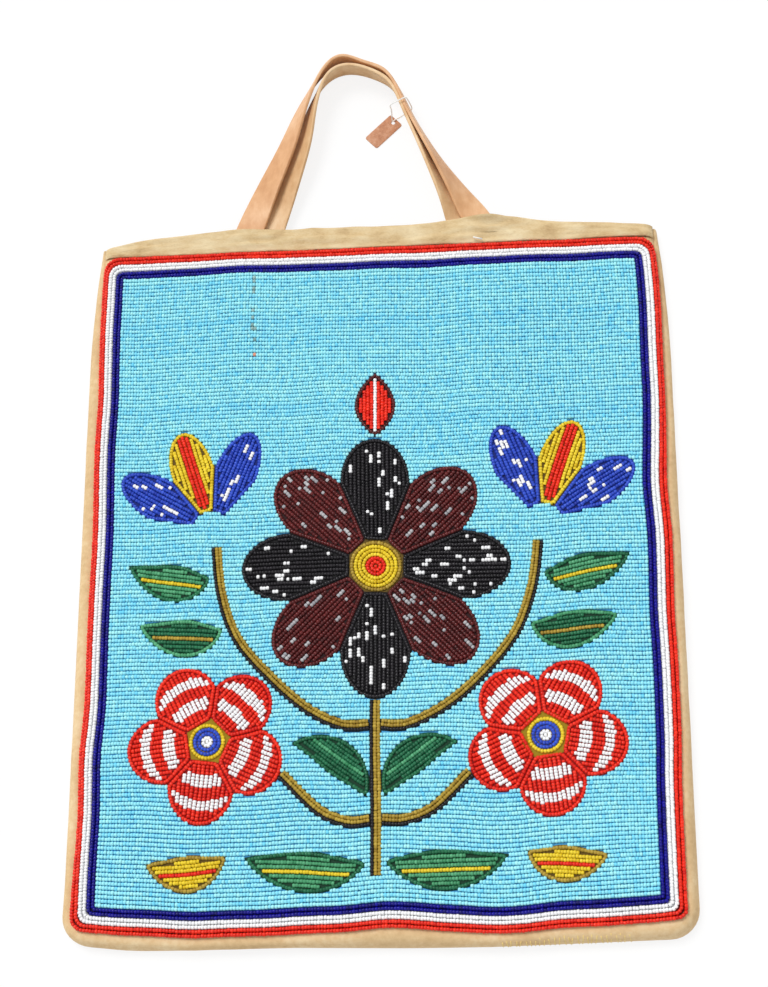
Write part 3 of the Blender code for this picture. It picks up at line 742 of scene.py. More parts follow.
def makeStems():
    work = Beadwork("beads_stems", ["stem_middle"], "gold_beads")
    top = design["rosettePlace"][1] - design["rosetteReach"] - 2 * design["petalGap"]
    beadStem(work, np.array([(0.0, y) for y in np.linspace(design["stemRoot"], top, 3)]))
    start = design["stemWidth"] / 2 + design["petalGap"]
    turn = design["flowerTurn"]
    reach = design["flowerReach"] + 2 * design["petalGap"]
    flower = np.array(design["flowerPlace"]) + (reach * math.cos(turn), reach * math.sin(turn))
    for side, word in bothSides:
        for name, bends, end in (("low", design["lowStem"], [flower]), ("high", design["highStem"], [])):
            route = smoothThrough([(start, bends[0][1]), *bends, *end], 24)
            beadStem(work, route * (side, 1), -side)
            work.replaced.append(f"stem_{name}_{word}")
    return work


# Node, shape, and the glasses of its ground (painted as shade under it), its edge, its rows and its rib
leafKinds = (
    ("root_leaf_", "rootLeaf", "deepGreen", "deepGreen", "green", "yellow"),
    ("outer_leaf_", "outerLeaf", "deepGreen", "deepGreen", "green", "yellow"),
    ("middle_leaf_", "middleLeaf", "deepGreen", "deepGreen", "deepGreen", "green"),
    ("side_leaf_", "sideLeaf", "deepGreen", "green", "deepGreen", "gold"),
    ("low_bud_", "lowBud", "gold", "gold", "yellow", "red"),
)


def makeLeaves():
    work = Beadwork("beads_leaves", [], "green_beads")
    for side, word in bothSides:
        for name, key, groundShade, edge, inside, rib in leafKinds:
            base, _, tip, _ = design[key]
            turn = math.atan2(tip[1] - base[1], side * (tip[0] - base[0]))
            outline = leafOutline(*design[key], side)
            beadShape(work, outline, turn, groundShade, edge, lambda row: plain(inside if row else rib))
            work.replaced.append(name + word)
    bud = leafOutline(*design["topBud"])
    beadShape(work, bud, math.pi / 2, "oxblood", "oxblood", lambda row: plain("red" if row else "white"))
    work.replaced.append("top_bud")
    return work


# A thin brown stain crosses the rows near the mouth and ends at one coral bead
stain = {
    "top": (-0.0620, 0.3398), "bottom": (-0.0598, 0.2852), "halfWidth": 0.0009, "share": 0.5,
    "coralReach": 0.0009,
}


def stained(places):
    (x0, y0), (x1, y1) = stain["top"], stain["bottom"]
    middle = x0 + (x1 - x0) * (places[:, 1] - y0) / (y1 - y0)
    near = (np.abs(places[:, 0] - middle) < stain["halfWidth"]) & (places[:, 1] < y0)
    return near & (places[:, 1] > y1)


def groundPaint(name):
    def paint(places):
        found = [name] * len(places)
        for k in np.flatnonzero(stained(places)):
            if chance.random() < stain["share"]:
                found[k] = "stained"
        last = np.hypot(places[:, 0] - stain["bottom"][0], places[:, 1] - stain["bottom"][1])
        for k in np.flatnonzero(last < stain["coralReach"]):
            found[k] = "coral"
        return found
    return paint


field = {
    "parts": 3,
    "wallGap": 0.0002,  # between the rows and the motifs
    "overEnd": 0.0005,  # a row runs on by this much where it meets a motif
    "runSteps": 60,
}


# Sky-blue rows from border to border, in parts by height, open where the design is sewn
def makeField():
    rows = round((fieldEnd - fieldStart) / beads["rowPitch"])
    pitch = (fieldEnd - fieldStart) / rows
    stretch = np.arange(-fieldHalf, fieldHalf, beads["step"])
    walls = [grown(outline, field["wallGap"]) for outline in fieldHoles]
    names = [f"beads_field_{k + 1}" for k in range(field["parts"])]
    parts = [Beadwork(name, ["bead_field"], "sky_beads") for name in names]
    for row in range(rows):
        y = fieldStart + (row + 0.5) * pitch
        line = np.stack([stretch, np.full(len(stretch), y)], 1)
        free = np.ones(len(line), bool)
        for wall in walls:
            free &= ~insideOf(line, wall)
        part = parts[min(row * len(parts) // rows, len(parts) - 1)]
        for start, end in runsOf(free):
            ends = line[[start, end]]
            ends[0, 0] -= field["overEnd"] if start > 0 else 0.0
            ends[1, 0] += field["overEnd"] if end < len(line) - 1 else 0.0
            part.string(np.linspace(*ends, field["runSteps"]), groundPaint("sky"))
    return parts


border = {
    "stripes": (("navy", 0), ("white", 2), ("red", 4)),  # each with its first row of two
    "rows": 6,
    "roundness": (0.25, 0.7, 0.7, 0.45),  # of the corners, from the lower right one on
    "leastRadius": 0.0006,
    "cornerPoints": 7,
    "step": 0.004,
}


# A ring round the field, at one distance from it, with its corners rounded
def borderRing(away):
    half, low, high = fieldHalf + away, fieldStart - away, fieldEnd + away
    corners = ((half, low, -90), (half, high, 0), (-half, high, 90), (-half, low, 180))
    ring = []
    for (x, y, start), roundness in zip(corners, border["roundness"]):
        radius = roundness * away + border["leastRadius"]
        middle = (x - math.copysign(radius, x), y - math.copysign(radius, y - (low + high) / 2))
        for a in np.radians(np.linspace(start, start + 90, border["cornerPoints"])):
            ring.append((middle[0] + radius * math.cos(a), middle[1] + radius * math.sin(a)))
    ring = np.array(ring)
    fine = []
    for a, b in zip(ring, np.roll(ring, -1, 0)):
        steps = max(2, int(np.linalg.norm(b - a) / border["step"]))
        fine.append(np.linspace(a, b, steps)[:-1])
    return np.vstack(fine)


def makeBorder():
    works = []
    rowPitch = borderWide / border["rows"]
    for colour, first in border["stripes"]:
        work = Beadwork("beads_border_" + colour, ["border_" + colour], colour + "_beads")
        for row in (first, first + 1):
            work.string(borderRing((row + 0.5) * rowPitch), plain(colour), looped=True)
        works.append(work)
    return works


# A sheet under the motifs, dark in each one's own colour: painted shade in the gaps between their beads
shadeSheet = {"low": 0.0089, "top": 0.0094, "grow": 0.0002, "shade": 0.7}


def makeShadeSheet():
    bm = bmesh.new()
    used = sorted({name for _, name in groundShades})
    for outline, name in groundShades:
        corners = grown(outline, shadeSheet["grow"])
        face = bm.faces.new([bm.verts.new((*corner, shadeSheet["low"])) for corner in corners])
        face.material_index = used.index(name)
        for v in vertsIn(bmesh.ops.extrude_face_region(bm, geom=[face])["geom"]):
            v.co.z = shadeSheet["top"]
    bmesh.ops.recalc_face_normals(bm, faces=bm.faces)
    for v in bm.verts:
        v.co = laid(*v.co)
    bmesh.ops.triangulate(bm, faces=bm.faces)
    finishes = []
    for name in used:
        finish = Finish(name + "Ground")
        # Painted shade: the glass's darkest colour, darker still
        dark = [channel * shadeSheet["shade"] for channel in glass[name][0]]
        finishes.append(finish.done(Base_Color=linear(dark), Roughness=0.9))
    piece = pieceFrom("motif_shade_sheet", bm, finishes)
    piece.data.set_sharp_from_angle(angle=math.radians(40))
    return entered(piece, "black_beads")


def makeBeadwork():
    works = [makeRosette()]
    for side, word in bothSides:
        works += [makeFlower(side, word), makeTulip(side, word)]
    works += [makeStems(), makeLeaves()]
    works += makeField() + makeBorder()
    pieces = [work.make() for work in works] + [makeShadeSheet()]
    for work in works:
        print("beads:", work.name, work.count())
    print("beads in all:", sum(work.count() for work in works))
    return pieces


# Hide of the panels: soft, matt and blotched. Under each stripe of beads it takes the colour that the gaps
# between those beads show, as painted shade and bounced colour: dark under the navy and red, mid blue
# under the sky-blue, near white under the white
hide = {
    "stops": ((0.32, (206, 172, 124)), (0.5, (224, 192, 144)), (0.68, (238, 214, 172))),
    "cloud": (38.0, 4.0, 0.6), "fine": (420.0, 3.0, 0.6), "grain": (1500.0, 2.0),  # noises
    "underSky": (78, 170, 224), "underNavy": (8, 8, 44), "underWhite": (246, 246, 248),
    "underRed": (120, 12, 8), "relief": 0.0003, "stripeEnd": 0.0010, "stripeFade": 0.0005,
    "flatWidth": 0.33, "flatLength": 0.40, "flatStart": 0.02,  # the flat pattern on the UV square
}


def makeHide(name, beaded):
    finish = Finish(name)
    spot = finish.place()
    cloud, fine, grain = (finish.noise(spot, *hide[key]) for key in ("cloud", "fine", "grain"))
    colour = finish.ramp(cloud * 0.6 + fine * 0.4, hide["stops"])
    if beaded:
        flat = finish.node("ShaderNodeTexCoord", output=2)
        across = finish.node("ShaderNodeSeparateXYZ", {}, {0: flat})
        up = Wire(finish, across.socket.node.outputs[1])
        x = (across - 0.5) * hide["flatWidth"]
        y = up * hide["flatLength"] - hide["flatStart"]
        size = finish.node("ShaderNodeMath", {"operation": "ABSOLUTE"}, {0: x})
        sideways = size.sum("MAXIMUM", size - fieldHalf, 0.0)
        endways = y.sum("MAXIMUM", y.sum("MAXIMUM", fieldStart - y, y - fieldEnd), 0.0)
        sideSquare, endSquare = sideways * sideways, endways * endways
        away = sideways.sum("SQRT", sideSquare * sideSquare + endSquare * endSquare, 0.0)
        away = sideways.sum("SQRT", away, 0.0)
        # Painted shade and bounced colour between the beads, stripe by stripe
        stripe = finish.ramp(away * (1 / borderWide), (
            (0.0, hide["underSky"]), (0.02, hide["underNavy"]), (0.32, hide["underNavy"]),
            (0.34, hide["underWhite"]), (0.65, hide["underWhite"]), (0.67, hide["underRed"]),
        ))
        end = borderWide - hide["stripeEnd"]
        colour = finish.mix(finish.spread(away, end, end + hide["stripeFade"]), stripe, colour)
    bump = finish.bump(grain * 0.5 + fine * 0.5, hide["relief"], 0.7)
    return finish.done(Base_Color=colour, Roughness=0.85, Normal=bump)


panel = {
    "thickness": 0.0012,
    "cornerRadius": 0.014,
    "mouthHalf": 0.1402,
    "taper": 0.075,
    "flatLow": 0.0055,  # bottom edge of the flat part
    "cornerSteps": 8, "sideSteps": 60,
    "rollRings": 9,
    "cuts": 22,
    "rollCuts": 4,
    "rollCutPitch": 0.0018,
    "underBeadLift": 0.0006,  # the sewn cloth swells under the beads
    "liftInset": 0.001,
    "wrinkle": 0.00045,
    "wrinkles": 90,  # how close they lie
    "seamCalm": 0.03,
    "tuck": 0.0014,  # the mouth edge ends this far inside the hem's fold
    "tuckAtEnds": 0.0024,
    "tuckReach": 0.02,
    "endsFrom": 0.08, "endsReach": 0.06,
}
backPanel = {"thickness": 0.001, "edge": 0.0003, "uneven": 0.0001}


def rimHalf(y):
    share = min(max((mouth - y) / panel["taper"], 0.0), 1.0)
    return panel["mouthHalf"] + (bagHalf - panel["mouthHalf"]) * math.sin(share * math.pi / 2)


# Outward direction and reach of the rolled margin at a point of the flat part's edge
def rollAt(x, y):
    radius = panel["cornerRadius"] - panel["flatLow"]
    inX = abs(x) - (plateauHalf - radius)
    inY = panel["flatLow"] + radius - y
    if inY <= 0:
        way = Vector((1, 0))
    elif inX <= 0:
        way = Vector((0, -1))
    else:
        way = Vector((inX, -inY)).normalized()
    reach = Vector((way.x * (rimHalf(y) - plateauHalf), way.y * panel["flatLow"])).length
    return Vector((math.copysign(way.x, x) if way.x else 0.0, way.y)), reach


def cutAcross(bm, place, way):
    geom = bm.verts[:] + bm.edges[:] + bm.faces[:]
    bmesh.ops.bisect_plane(bm, geom=geom, plane_co=place, plane_no=way)


# Flat part with round lower corners, as a face cut into a grid
def flatPart():
    bm = bmesh.new()
    half, low = plateauHalf, panel["flatLow"]
    radius = panel["cornerRadius"] - low
    right = []
    for a in np.linspace(0, math.pi / 2, panel["cornerSteps"] + 1):
        right.append((half - radius + radius * math.sin(a), low + radius - radius * math.cos(a)))
    steps = panel["sideSteps"]
    right += [(half, mouth - (mouth - low - radius) * (1 - k / steps)) for k in range(1, steps + 1)]
    left = [(-x, y) for x, y in reversed(right)]
    corners = [bm.verts.new((x, y, 0)) for x, y in right + left]
    bm.faces.new(corners)
    for k in range(1, panel["cuts"] * 2):
        cutAcross(bm, (-half + 2 * half * k / (panel["cuts"] * 2), 0, 0), (1, 0, 0))
    for k in range(1, panel["cuts"]):
        cutAcross(bm, (0, low + radius + (mouth - low - radius) * k / panel["cuts"], 0), (0, 1, 0))
    bmesh.ops.recalc_face_normals(bm, faces=bm.faces)
    return bm


# The flat part's edges on the three sewn sides
def sewnEdges(bm):
    rim = [edge for edge in bm.edges if edge.is_boundary]
    return [edge for edge in rim if not all(abs(v.co.y - mouth) < 1e-6 for v in edge.verts)]


# A place on the rolled margin: from a point of the flat part's edge (share 0) to the rim (1)
def marginPlace(x, y, share, crease=0.0):
    way, reach = rollAt(x, y)
    a = math.pi / 2 * (1 - share)
    low = backHigh.z + sewnGap
    out = reach * math.cos(a) + crease
    place = Vector((x + way.x * out, y + way.y * out + bagBottom, low + (panelTop - low) * math.sin(a)))
    base = laid(x, y, panelTop) - Vector((x, y + bagBottom, panelTop))
    seam = Vector((0, -float(wanderAt("seam", x)) * (1 - eased(y / panel["seamCalm"])), 0))
    return place + base * (1 - share) + seam * share, Vector((x + way.x * out, y + way.y * out))


# How far a place near the mouth is pulled back under the hem
def tuckedIn(pattern):
    ends = panel["tuckAtEnds"] * eased((abs(pattern.x) - panel["endsFrom"]) / panel["endsReach"])
    return float((panel["tuck"] + ends) * eased((pattern.y - mouth) / panel["tuckReach"] + 1))


# The front panel: flat under the beadwork, its margins rolled down to the seam on three sides
def makeFrontPanel():
    bm = flatPart()
    for side in (-1, 1):
        for step in range(panel["rollCuts"]):
            at = side * (fieldHalf + lie["rollStart"] + step * panel["rollCutPitch"])
            cutAcross(bm, (at, 0, 0), (1, 0, 0))
    rim = sewnEdges(bm)
    patterns = {v: Vector((v.co.x, v.co.y)) for v in bm.verts}
    places = {}
    for v, pattern in patterns.items():
        fromBottom = pattern.y - panel["flatLow"] - 1.5 * panel["liftInset"]
        inside = min(plateauHalf - abs(pattern.x), fromBottom, mouth - pattern.y)
        lift = panel["underBeadLift"] * min(max(inside / panel["liftInset"] - 1, 0.0), 1.0)
        places[v] = laid(pattern.x, pattern.y, panelTop + lift)
    roots = {tuple(v.co): patterns[v] for edge in rim for v in edge.verts}
    for k in range(1, panel["rollRings"] + 1):
        share = k / panel["rollRings"]
        made = bmesh.ops.extrude_edge_only(bm, edges=rim)["geom"]
        fresh = vertsIn(made)
        rim = [item for item in made if isinstance(item, bmesh.types.BMEdge)]
        rim = [edge for edge in rim if all(v in fresh for v in edge.verts)]
        for v in fresh:
            root = roots[tuple(v.co)]
            crease = noiseAt(root.x * panel["wrinkles"], root.y * panel["wrinkles"], 3.1 + k * 0.22)
            crease *= panel["wrinkle"] * math.sin(math.pi * share)
            places[v], patterns[v] = marginPlace(root.x, root.y, share, crease)
    layer = bm.loops.layers.uv.new("OFBake")
    for face in bm.faces:
        for loop in face.loops:
            x, y = patterns[loop.vert]
            loop[layer].uv = (x / hide["flatWidth"] + 0.5, (y + hide["flatStart"]) / hide["flatLength"])
    for v, place in places.items():
        v.co = place - Vector((0, tuckedIn(patterns[v]), 0))
    faceUp(bm)
    piece = pieceFrom("front_hide", bm, [makeHide("beadedHide", True)])
    addWall(piece, panel["thickness"])
    return entered(piece, "hide", "front_panel")


# The back panel: the same outline, its edge softened
def makeBackPanel():
    bm = flatPart()
    for v in vertsIn(bmesh.ops.extrude_edge_only(bm, edges=sewnEdges(bm))["geom"]):
        v.co = marginPlace(v.co.x, v.co.y, 1.0)[0] - Vector((0, bagBottom, 0))
    for v in bm.verts:
        sink = backPanel["uneven"] * (1 + noiseAt(v.co.x * 25, v.co.y * 25, 8.0))
        v.co = Vector((v.co.x, v.co.y + bagBottom - tuckedIn(v.co), backHigh.z - sink))
    faceUp(bm)
    piece = pieceFrom("back_hide", bm, [makeHide("plainHide", False)])
    addWall(piece, backPanel["thickness"])
    soft = piece.modifiers.new("soft", "BEVEL")
    soft.width = backPanel["edge"]
    soft.segments = 2
    soft.limit_method = "ANGLE"
    return entered(piece, "hide", "back_panel")


# Cloth of the hems: fine weave. Its colour is darker where its bump sinks and paler where it rises:
# painted shade in the creases and painted highlights on them
hemCloth = {
    "stops": ((0.30, (172, 136, 90)), (0.46, (218, 190, 142)), (0.66, (242, 224, 184))),
    "long": (55, 150, 150), "threads": (900, 2600, 2600),  # noises stretched along the strip
    "cloud": (70.0, 4.0, 0.6), "relief": 0.0009,
}


def makeHemCloth():
    finish = Finish("hemCloth")
    long = finish.noise(finish.place(hemCloth["long"]), 1.0, 5.0, 0.6)
    cloud = finish.noise(finish.place(), *hemCloth["cloud"])
    threads = finish.noise(finish.place(hemCloth["threads"]), 1.0, 2.0)
    # Painted shade and highlights: the colour follows the same streaks as the bump
    colour = finish.ramp(long * 0.55 + cloud * 0.3 + threads * 0.15, hemCloth["stops"])
    bump = finish.bump(long * 0.7 + threads * 0.3, hemCloth["relief"])
    return finish.done(Base_Color=colour, Roughness=0.9, Normal=bump)


hem = {
    "thickness": 0.0008,
    "columns": 240,
    "rows": 22,
    "foldShare": 0.6,  # of the strip's width lies outside, up to the fold
    "backShare": 0.76,  # the fold ends here
    "inside": 0.0075,  # depth that the strip runs back inside the mouth
    "edgeLine": (
        (-0.1385, 0.3460), (-0.112, 0.3500), (-0.089, 0.3520), (-0.073, 0.3534), (-0.052, 0.3534),
        (-0.035, 0.3527), (0.002, 0.3523), (0.025, 0.3527), (0.045, 0.3544), (0.070, 0.3541),
        (0.092, 0.3510), (0.115, 0.3492), (0.1385, 0.3470),
    ),
    "humps": ((-0.063, 0.012, 0.0013), (0.055, 0.015, 0.0026)),  # over the strap feet: x, width, height
    "crease": 0.0012, "ridge": 0.0007,
    # Their noise: by x, slant and by share of the strip's width, and start
    "broad": (34, 0, 5.5, 1.7), "fine": (80, 3, 9.0, 6.2), "ridges": (46, -4, 6.5, 12.5),
    "plainShare": 0.6, "humpShare": 0.9,  # of the crease, and what the humps add
    "deepest": -0.5,  # of the crease, so that the cloth stays above what it covers
    "overEnd": 0.0002, "ripple": 0.0005, "belly": 0.0004, "foldRound": 0.0006, "pull": 0.0004,
    "outerRise": 0.0025, "innerSink": 0.0002, "backInner": 0.0003,  # heights of the legs
    "backAbove": 0.0008, "backBelow": 0.0006,  # how the plain hem keeps behind the creased one
}


def creaseAt(kind, x, share):
    byX, slant, byShare, start = hem[kind]
    return noiseAt(x * byX + share * slant, share * byShare, start)


def humpAt(x):
    return sum(height * math.exp(-((x - middle) / width) ** 2) for middle, width, height in hem["humps"])


# A strip folded over a panel's mouth edge: outside is the height it lies at, inner the height
# of its hidden leg, lower how far its lower edge is from the bag's bottom, and lively is 1 where
# it is creased and swells over the strap feet, 0 where it is plain
def makeHem(name, node, outside, inner, lower, clothFinish, lively):
    bm = bmesh.new()
    bmesh.ops.create_grid(bm, x_segments=hem["columns"], y_segments=hem["rows"], size=1.0)
    line = np.array(hem["edgeLine"])
    highestHump = max(height for _, _, height in hem["humps"])
    for v in bm.verts:
        x = v.co.x * (hemHigh.x + hem["overEnd"])
        share = (v.co.y + 1) / 2
        fold = float(np.interp(x, line[:, 0], line[:, 1]))
        if not lively:
            fold = min(mouth + hem["backAbove"], fold - hem["backBelow"])
        crease = creaseAt("broad", x, share) + 0.5 * creaseAt("fine", x, share)
        ridge = 1 - 3 * abs(creaseAt("ridges", x, share))
        crease += hem["ridge"] / hem["crease"] * max(ridge, 0.0)
        crease = max(crease, hem["deepest"])
        crease *= 1 - eased((share - hem["foldShare"]) / (hem["backShare"] - hem["foldShare"]))
        if share < hem["foldShare"]:
            t = share / hem["foldShare"]
            low = lower + lively * hem["ripple"] * noiseAt(x * 60, 2.2, 0.4)
            y = low + (fold - low) * t
            z = outside + hem["belly"] * math.sin(math.pi * t)
        elif share < hem["backShare"]:
            a = math.pi * (share - hem["foldShare"]) / (hem["backShare"] - hem["foldShare"])
            half = (outside - inner) / 2
            y = fold + hem["foldRound"] * math.sin(a)
            z = outside - half + half * math.cos(a)
        else:
            t = (share - hem["backShare"]) / (1 - hem["backShare"])
            y = fold - hem["inside"] * t
            z = inner
        if lively:
            near = humpAt(x) / highestHump
            rise = humpAt(x) * min(share / hem["foldShare"], 1.0) ** 1.5
            depth = hem["crease"] * (hem["plainShare"] + hem["humpShare"] * near)
            z += rise + depth * crease * min(share * 6, 1.0)
            y += hem["pull"] * crease * min(share * 4, 1.0)
        v.co = laid(x, y, z, lively)
    faceUp(bm)
    piece = pieceFrom(name, bm, [clothFinish])
    addWall(piece, hem["thickness"])
    return entered(piece, "hem_cloth", node)


strap = {
    "edge": 0.00055, "sharp": math.radians(50),
    # The right-hand legs lean between two heights above the mouth, and the loop sags beside its top
    "leanFrom": 0.004, "leanTo": 0.108, "leanPastX": -0.004, "leanFade": 0.010, "leanRound": 0.45,
    "sagX": -0.006, "sagWidth": 0.0075, "sagPast": 0.070, "sagFade": 0.015,
    "cloud": (30.0, 4.0, 0.6), "fibre": (260, 120, 260), "pores": (1900.0, 2.0), "relief": 0.00025,
    "front": {
        "lean": 0.0004, "sag": 0.0024,
        "stops": ((0.34, (198, 142, 94)), (0.5, (218, 166, 118)), (0.66, (236, 192, 148))),
    },
    "back": {
        "lean": 0.0042, "sag": 0.0,
        "stops": ((0.34, (204, 158, 108)), (0.5, (224, 184, 136)), (0.66, (240, 210, 168))),
    },
}


# Strap leather: smooth orange-tan, paler where it has been handled
def makeStrapLeather(which):
    finish = Finish(which + "Leather")
    cloud = finish.noise(finish.place(), *strap["cloud"])
    fibre = finish.noise(finish.place(strap["fibre"]), 1.0, 4.0, 0.65)
    pores = finish.noise(finish.place(), *strap["pores"])
    colour = finish.ramp(cloud * 0.65 + fibre * 0.35, strap[which]["stops"])
    bump = finish.bump(pores * 0.6 + fibre * 0.4, strap["relief"], 0.6)
    rough = finish.spread(cloud, 0.3, 0.7, 0.6, 0.46)
    return finish.done(Base_Color=colour, Roughness=rough, Normal=bump)


# A copy of a solid of the frame, its loose triangles merged
def mergedSolid(node):
    bm = bmesh.new()
    bm.from_mesh(nodes[node].data)
    bmesh.ops.remove_doubles(bm, verts=bm.verts, dist=0.00001)
    return bm


def roundEdges(bm, width):
    edges = [e for e in bm.edges if len(e.link_faces) == 2 and e.calc_face_angle() > strap["sharp"]]
    bmesh.ops.bevel(
        bm, geom=edges, offset=width, offset_type="OFFSET", segments=2, profile=0.5, affect="EDGES",
        material=-1, clamp_overlap=True,
    )


# A handle, front or back: the frame's ribbon with its edges rounded
def makeHandle(which):
    bm = mergedSolid("handle_" + which)
    bmesh.ops.join_triangles(
        bm, faces=bm.faces, angle_face_threshold=math.radians(30), angle_shape_threshold=math.radians(60)
    )
    roundEdges(bm, strap["edge"])
    bmesh.ops.recalc_face_normals(bm, faces=bm.faces)
    lean, sag = strap[which]["lean"], strap[which]["sag"]
    for v in bm.verts:
        up = v.co.y - bagBottom - mouth
        share = (up - strap["leanFrom"]) / (strap["leanTo"] - strap["leanFrom"])
        side = eased((v.co.x - strap["leanPastX"]) / strap["leanFade"])
        sink = eased((up - strap["sagPast"]) / strap["sagFade"])
        v.co.y -= sag * sink * math.exp(-((v.co.x - strap["sagX"]) / strap["sagWidth"]) ** 2)
        v.co.x += lean * side * math.sin(math.pi * min(max(share, 0.0), 1.0)) ** strap["leanRound"]
    piece = pieceFrom(which + "_strap", bm, [makeStrapLeather(which)])
    smooth = piece.modifiers.new("smooth", "SUBSURF")
    smooth.levels = smooth.render_levels = 2
    return entered(piece, "strap_leather", "handle_" + which)


card = {
    "edge": 0.00012, "fibre": (700.0, 4.0, 0.7), "worn": (160.0, 3.0, 0.6), "relief": 0.0002,
    "stops": ((0.35, (172, 114, 84)), (0.5, (198, 142, 108)), (0.64, (216, 168, 138))),
}


def makeTagCard():
    finish = Finish("tagCard")
    fibre, worn = (finish.noise(finish.place(), *card[key]) for key in ("fibre", "worn"))
    colour = finish.ramp(fibre * 0.5 + worn * 0.5, card["stops"])
    return finish.done(Base_Color=colour, Roughness=0.8, Normal=finish.bump(fibre, card["relief"], 0.5))


def makeTag():
    bm = mergedSolid("tag")
    bmesh.ops.dissolve_limit(bm, angle_limit=0.02, verts=bm.verts, edges=bm.edges)
    roundEdges(bm, card["edge"])
    bmesh.ops.triangulate(bm, faces=bm.faces)
    bmesh.ops.recalc_face_normals(bm, faces=bm.faces)
    piece = pieceFrom("tag_card", bm, [makeTagCard()])
    piece.data.set_sharp_from_angle(angle=strap["sharp"])
    return entered(piece, "tag_card", "tag")


cotton = {
    "twist": (2400.0, 2.0), "relief": 0.0001, "darker": 14,
    "white": (255, 255, 252), "yellow": (244, 218, 146), "loose": (250, 248, 240),
}


def makeThreadCotton(shade):
    finish = Finish(shade + "Cotton")
    twist = finish.noise(finish.place(), *cotton["twist"])
    deep = tuple(c - cotton["darker"] for c in cotton[shade])
    colour = finish.ramp(twist, ((0.35, deep), (0.6, cotton[shade])))
    return finish.done(Base_Color=colour, Roughness=0.75, Normal=finish.bump(twist, cotton["relief"], 0.8))


# The tag's thread, from the tag under both straps, over them and back. Its route is in
# millimetres inwards across the straps, along them towards the foot, and up
thread = {
    "diameter": 0.0006,
    "place": (0.0140, 0.0695),  # x, and y from the mouth
    "turn": math.radians(-63.3),
    "route": (
        (6.85, 1.4, 1.25), (5.9, 1.2, 1.3), (4.6, 1.0, 1.15), (3.7, 0.8, 0.55), (2.8, 0.6, 0.32),
        (0.5, 0.3, 0.32), (-2.5, 0.0, 0.32), (-4.4, -0.1, 0.6), (-5.0, -0.2, 1.7),
        (-4.7, -0.2, 5.0), (-3.8, -0.1, 10.5), (-2.7, 0.0, 15.2), (-1.2, 0.1, 16.2),
        (3.0, 0.1, 16.2), (5.4, 0.0, 15.9), (6.5, -0.2, 14.5), (6.2, -0.2, 11.0),
        (6.3, 0.0, 7.0), (6.9, 0.6, 3.5), (7.2, 1.6, 1.5),
    ),
    "steps": 60,
}


def makeThread():
    along = Vector((math.cos(thread["turn"]), math.sin(thread["turn"]), 0))
    inwards = Vector((along.y, -along.x, 0))
    start = Vector((thread["place"][0], bagBottom + mouth + thread["place"][1], 0))
    route = [start + (inwards * a + along * b + Vector((0, 0, c))) / 1000 for a, b, c in thread["route"]]
    path = smoothThrough([tuple(p) for p in route], thread["steps"], measured=3)
    curve = bpy.data.curves.new("tag_cotton", "CURVE")
    curve.dimensions = "3D"
    curve.bevel_depth = thread["diameter"] / 2
    curve.bevel_resolution = 3
    curve.use_fill_caps = True
    spline = curve.splines.new("POLY")
    spline.points.add(len(path) - 1)
    for point, place in zip(spline.points, path):
        point.co = (*place, 1)
    spline.use_smooth = True
    curve.materials.append(makeThreadCotton("white"))
    length = float(np.linalg.norm(np.diff(path, axis=0), axis=1).sum())
    print("thread length in mm:", round(length * 1000, 1))
    piece = entered(newObject("tag_cotton", curve), "tag_thread", "tag_thread")
    return piece


# Whip stitches over the bottom seam, near the right corner, and a loose end on the hem
stitches = {
    "from": 0.056, "to": 0.113, "pitch": 0.0021, "width": 0.00055,
    "spread": 0.00025, "lean": (0.0002, 0.0003),  # its middle and spread, for each step
    "firstShare": (0.12, 0.36), "otherShares": (0.6, 0.97),  # of the way round the rolled margin
    "rise": 0.00016,
    "looseFrom": (0.0490, 0.3436, 0.0119), "looseTo": (0.0535, 0.3425, 0.0116), "looseWidth": 0.00088,
}


# A short thread between two places
def addStrand(bm, start, end, width):
    along = end - start
    made = bmesh.ops.create_cone(
        bm, cap_ends=True, segments=6, radius1=width / 2, radius2=width / 2, depth=along.length
    )["verts"]
    bmesh.ops.rotate(bm, verts=made, matrix=along.to_track_quat("Z", "Y").to_matrix())
    bmesh.ops.translate(bm, verts=made, vec=(start + end) / 2)


def makeStitches():
    bm = bmesh.new()
    for x in np.arange(stitches["from"], stitches["to"], stitches["pitch"]):
        x = float(x + chance.normal(0, stitches["spread"]))
        lean = float(chance.normal(*stitches["lean"]))
        route = []
        for share in (float(chance.uniform(*stitches["firstShare"])), *stitches["otherShares"]):
            at = x + lean * len(route)
            route.append(marginPlace(at, panel["flatLow"], share, stitches["rise"])[0])
        for start, end in zip(route, route[1:]):
            addStrand(bm, start, end, stitches["width"])
    entered(pieceFrom("seam_stitches", bm, [makeThreadCotton("yellow")]), "tag_thread")
    loose = bmesh.new()
    start, end = (laid(*stitches[key]) for key in ("looseFrom", "looseTo"))
    addStrand(loose, start, end, stitches["looseWidth"])
    entered(pieceFrom("loose_end", loose, [makeThreadCotton("loose")]), "tag_thread")


floorLook = {"reach": 6.0, "glow": 0.84}  # glow: share of plain white that the camera sees


def makeFloor():
    finish = Finish("paleFloor")
    rays = finish.node("ShaderNodeLightPath")
    glow = finish.node("ShaderNodeEmission", {}, {"Color": (1, 1, 1, 1), "Strength": 1.0})
    finish.done(Base_Color=linear((255, 255, 255)), Roughness=0.9)
    lit = Wire(finish, finish.shader.outputs[0])
    both = finish.node("ShaderNodeMixShader", {}, {0: rays * floorLook["glow"], 1: lit, 2: glow})
    finish.feed(finish.tree.nodes["Material Output"].inputs[0], both)
    bm = bmesh.new()
    bmesh.ops.create_grid(bm, x_segments=1, y_segments=1, size=floorLook["reach"])
    pieceFrom("floor", bm, [finish.material])


camera = {
    "place": (0.0793, -0.2921, 0.8660),
    "aim": (0.00424, -0.01465, 0.0104),
    "roll": math.radians(16.05),
    "lens": 68.84,
    "sensor": 36.0,
}


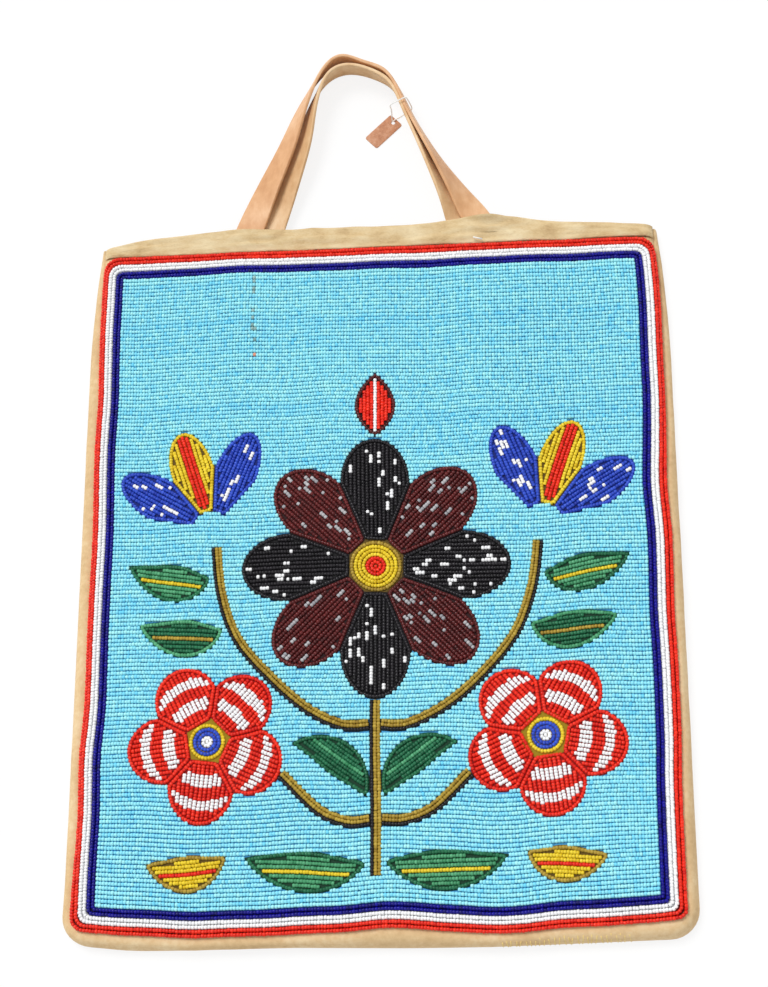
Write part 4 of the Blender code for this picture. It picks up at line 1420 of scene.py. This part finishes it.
def makeCamera():
    data = bpy.data.cameras.new("camera")
    data.lens = camera["lens"]
    data.sensor_width = camera["sensor"]
    made = newObject("camera", data)
    made.location = camera["place"]
    look = Vector(camera["aim"]) - Vector(camera["place"])
    level = look.to_track_quat("-Z", "Y")
    made.rotation_mode = "QUATERNION"
    made.rotation_quaternion = level @ Quaternion((0, 0, 1), -camera["roll"])
    bpy.context.scene.camera = made
    print("camera up:", [round(v, 3) for v in made.rotation_quaternion @ Vector((0, 1, 0))])


lamps = {"sky": 0.56, "key": 1.95, "keyFrom": (-0.45, 0.55, 1.0), "keySpread": math.radians(28)}


def makeLight():
    data = bpy.data.lights.new("key", "SUN")
    data.energy = lamps["key"]
    data.angle = lamps["keySpread"]
    key = newObject("key", data)
    key.rotation_mode = "QUATERNION"
    key.rotation_quaternion = Vector(lamps["keyFrom"]).to_track_quat("Z", "Y")
    world = bpy.data.worlds.new("studio")
    bpy.context.scene.world = world
    world.use_nodes = True
    sky = Nodes(world.node_tree)
    seen, mirrored, through = (
        sky.node("ShaderNodeLightPath", output=f"Is {kind} Ray")
        for kind in ("Camera", "Glossy", "Transmission")
    )
    white = seen.sum("MAXIMUM", seen.sum("MAXIMUM", seen, mirrored), through)
    background = sky.tree.nodes["Background"]
    sky.feed(background.inputs["Strength"], sky.spread(white, 0.0, 1.0, lamps["sky"]))
    sky.feed(background.inputs["Color"], (1, 1, 1, 1))
    bpy.context.scene.view_settings.view_transform = "Standard"


makeCamera()
makeLight()
makeFloor()
tagPiece = makeTag()
makeThread()
print("camera, light, tag and thread made")

beadPieces = makeBeadwork()
front = makeFrontPanel()
back = makeBackPanel()
cloth = makeHemCloth()
outerHem = makeHem(
    "front_hem", "mouth_hem_front", hemLow.z + hem["outerRise"], hemLow.z - hem["innerSink"],
    hemLow.y - bagBottom, cloth, 1,
)
innerHem = makeHem(
    "back_hem", "mouth_hem_back", innerHemHigh.z, hem["backInner"], innerHemLow.y - bagBottom, cloth, 0,
)
print("panels and hems made")
makeHandle("front")
makeHandle("back")
makeStitches()
[outerHem] + beadPieces
print("handles and stitches made")

bpy.context.view_layer.update()
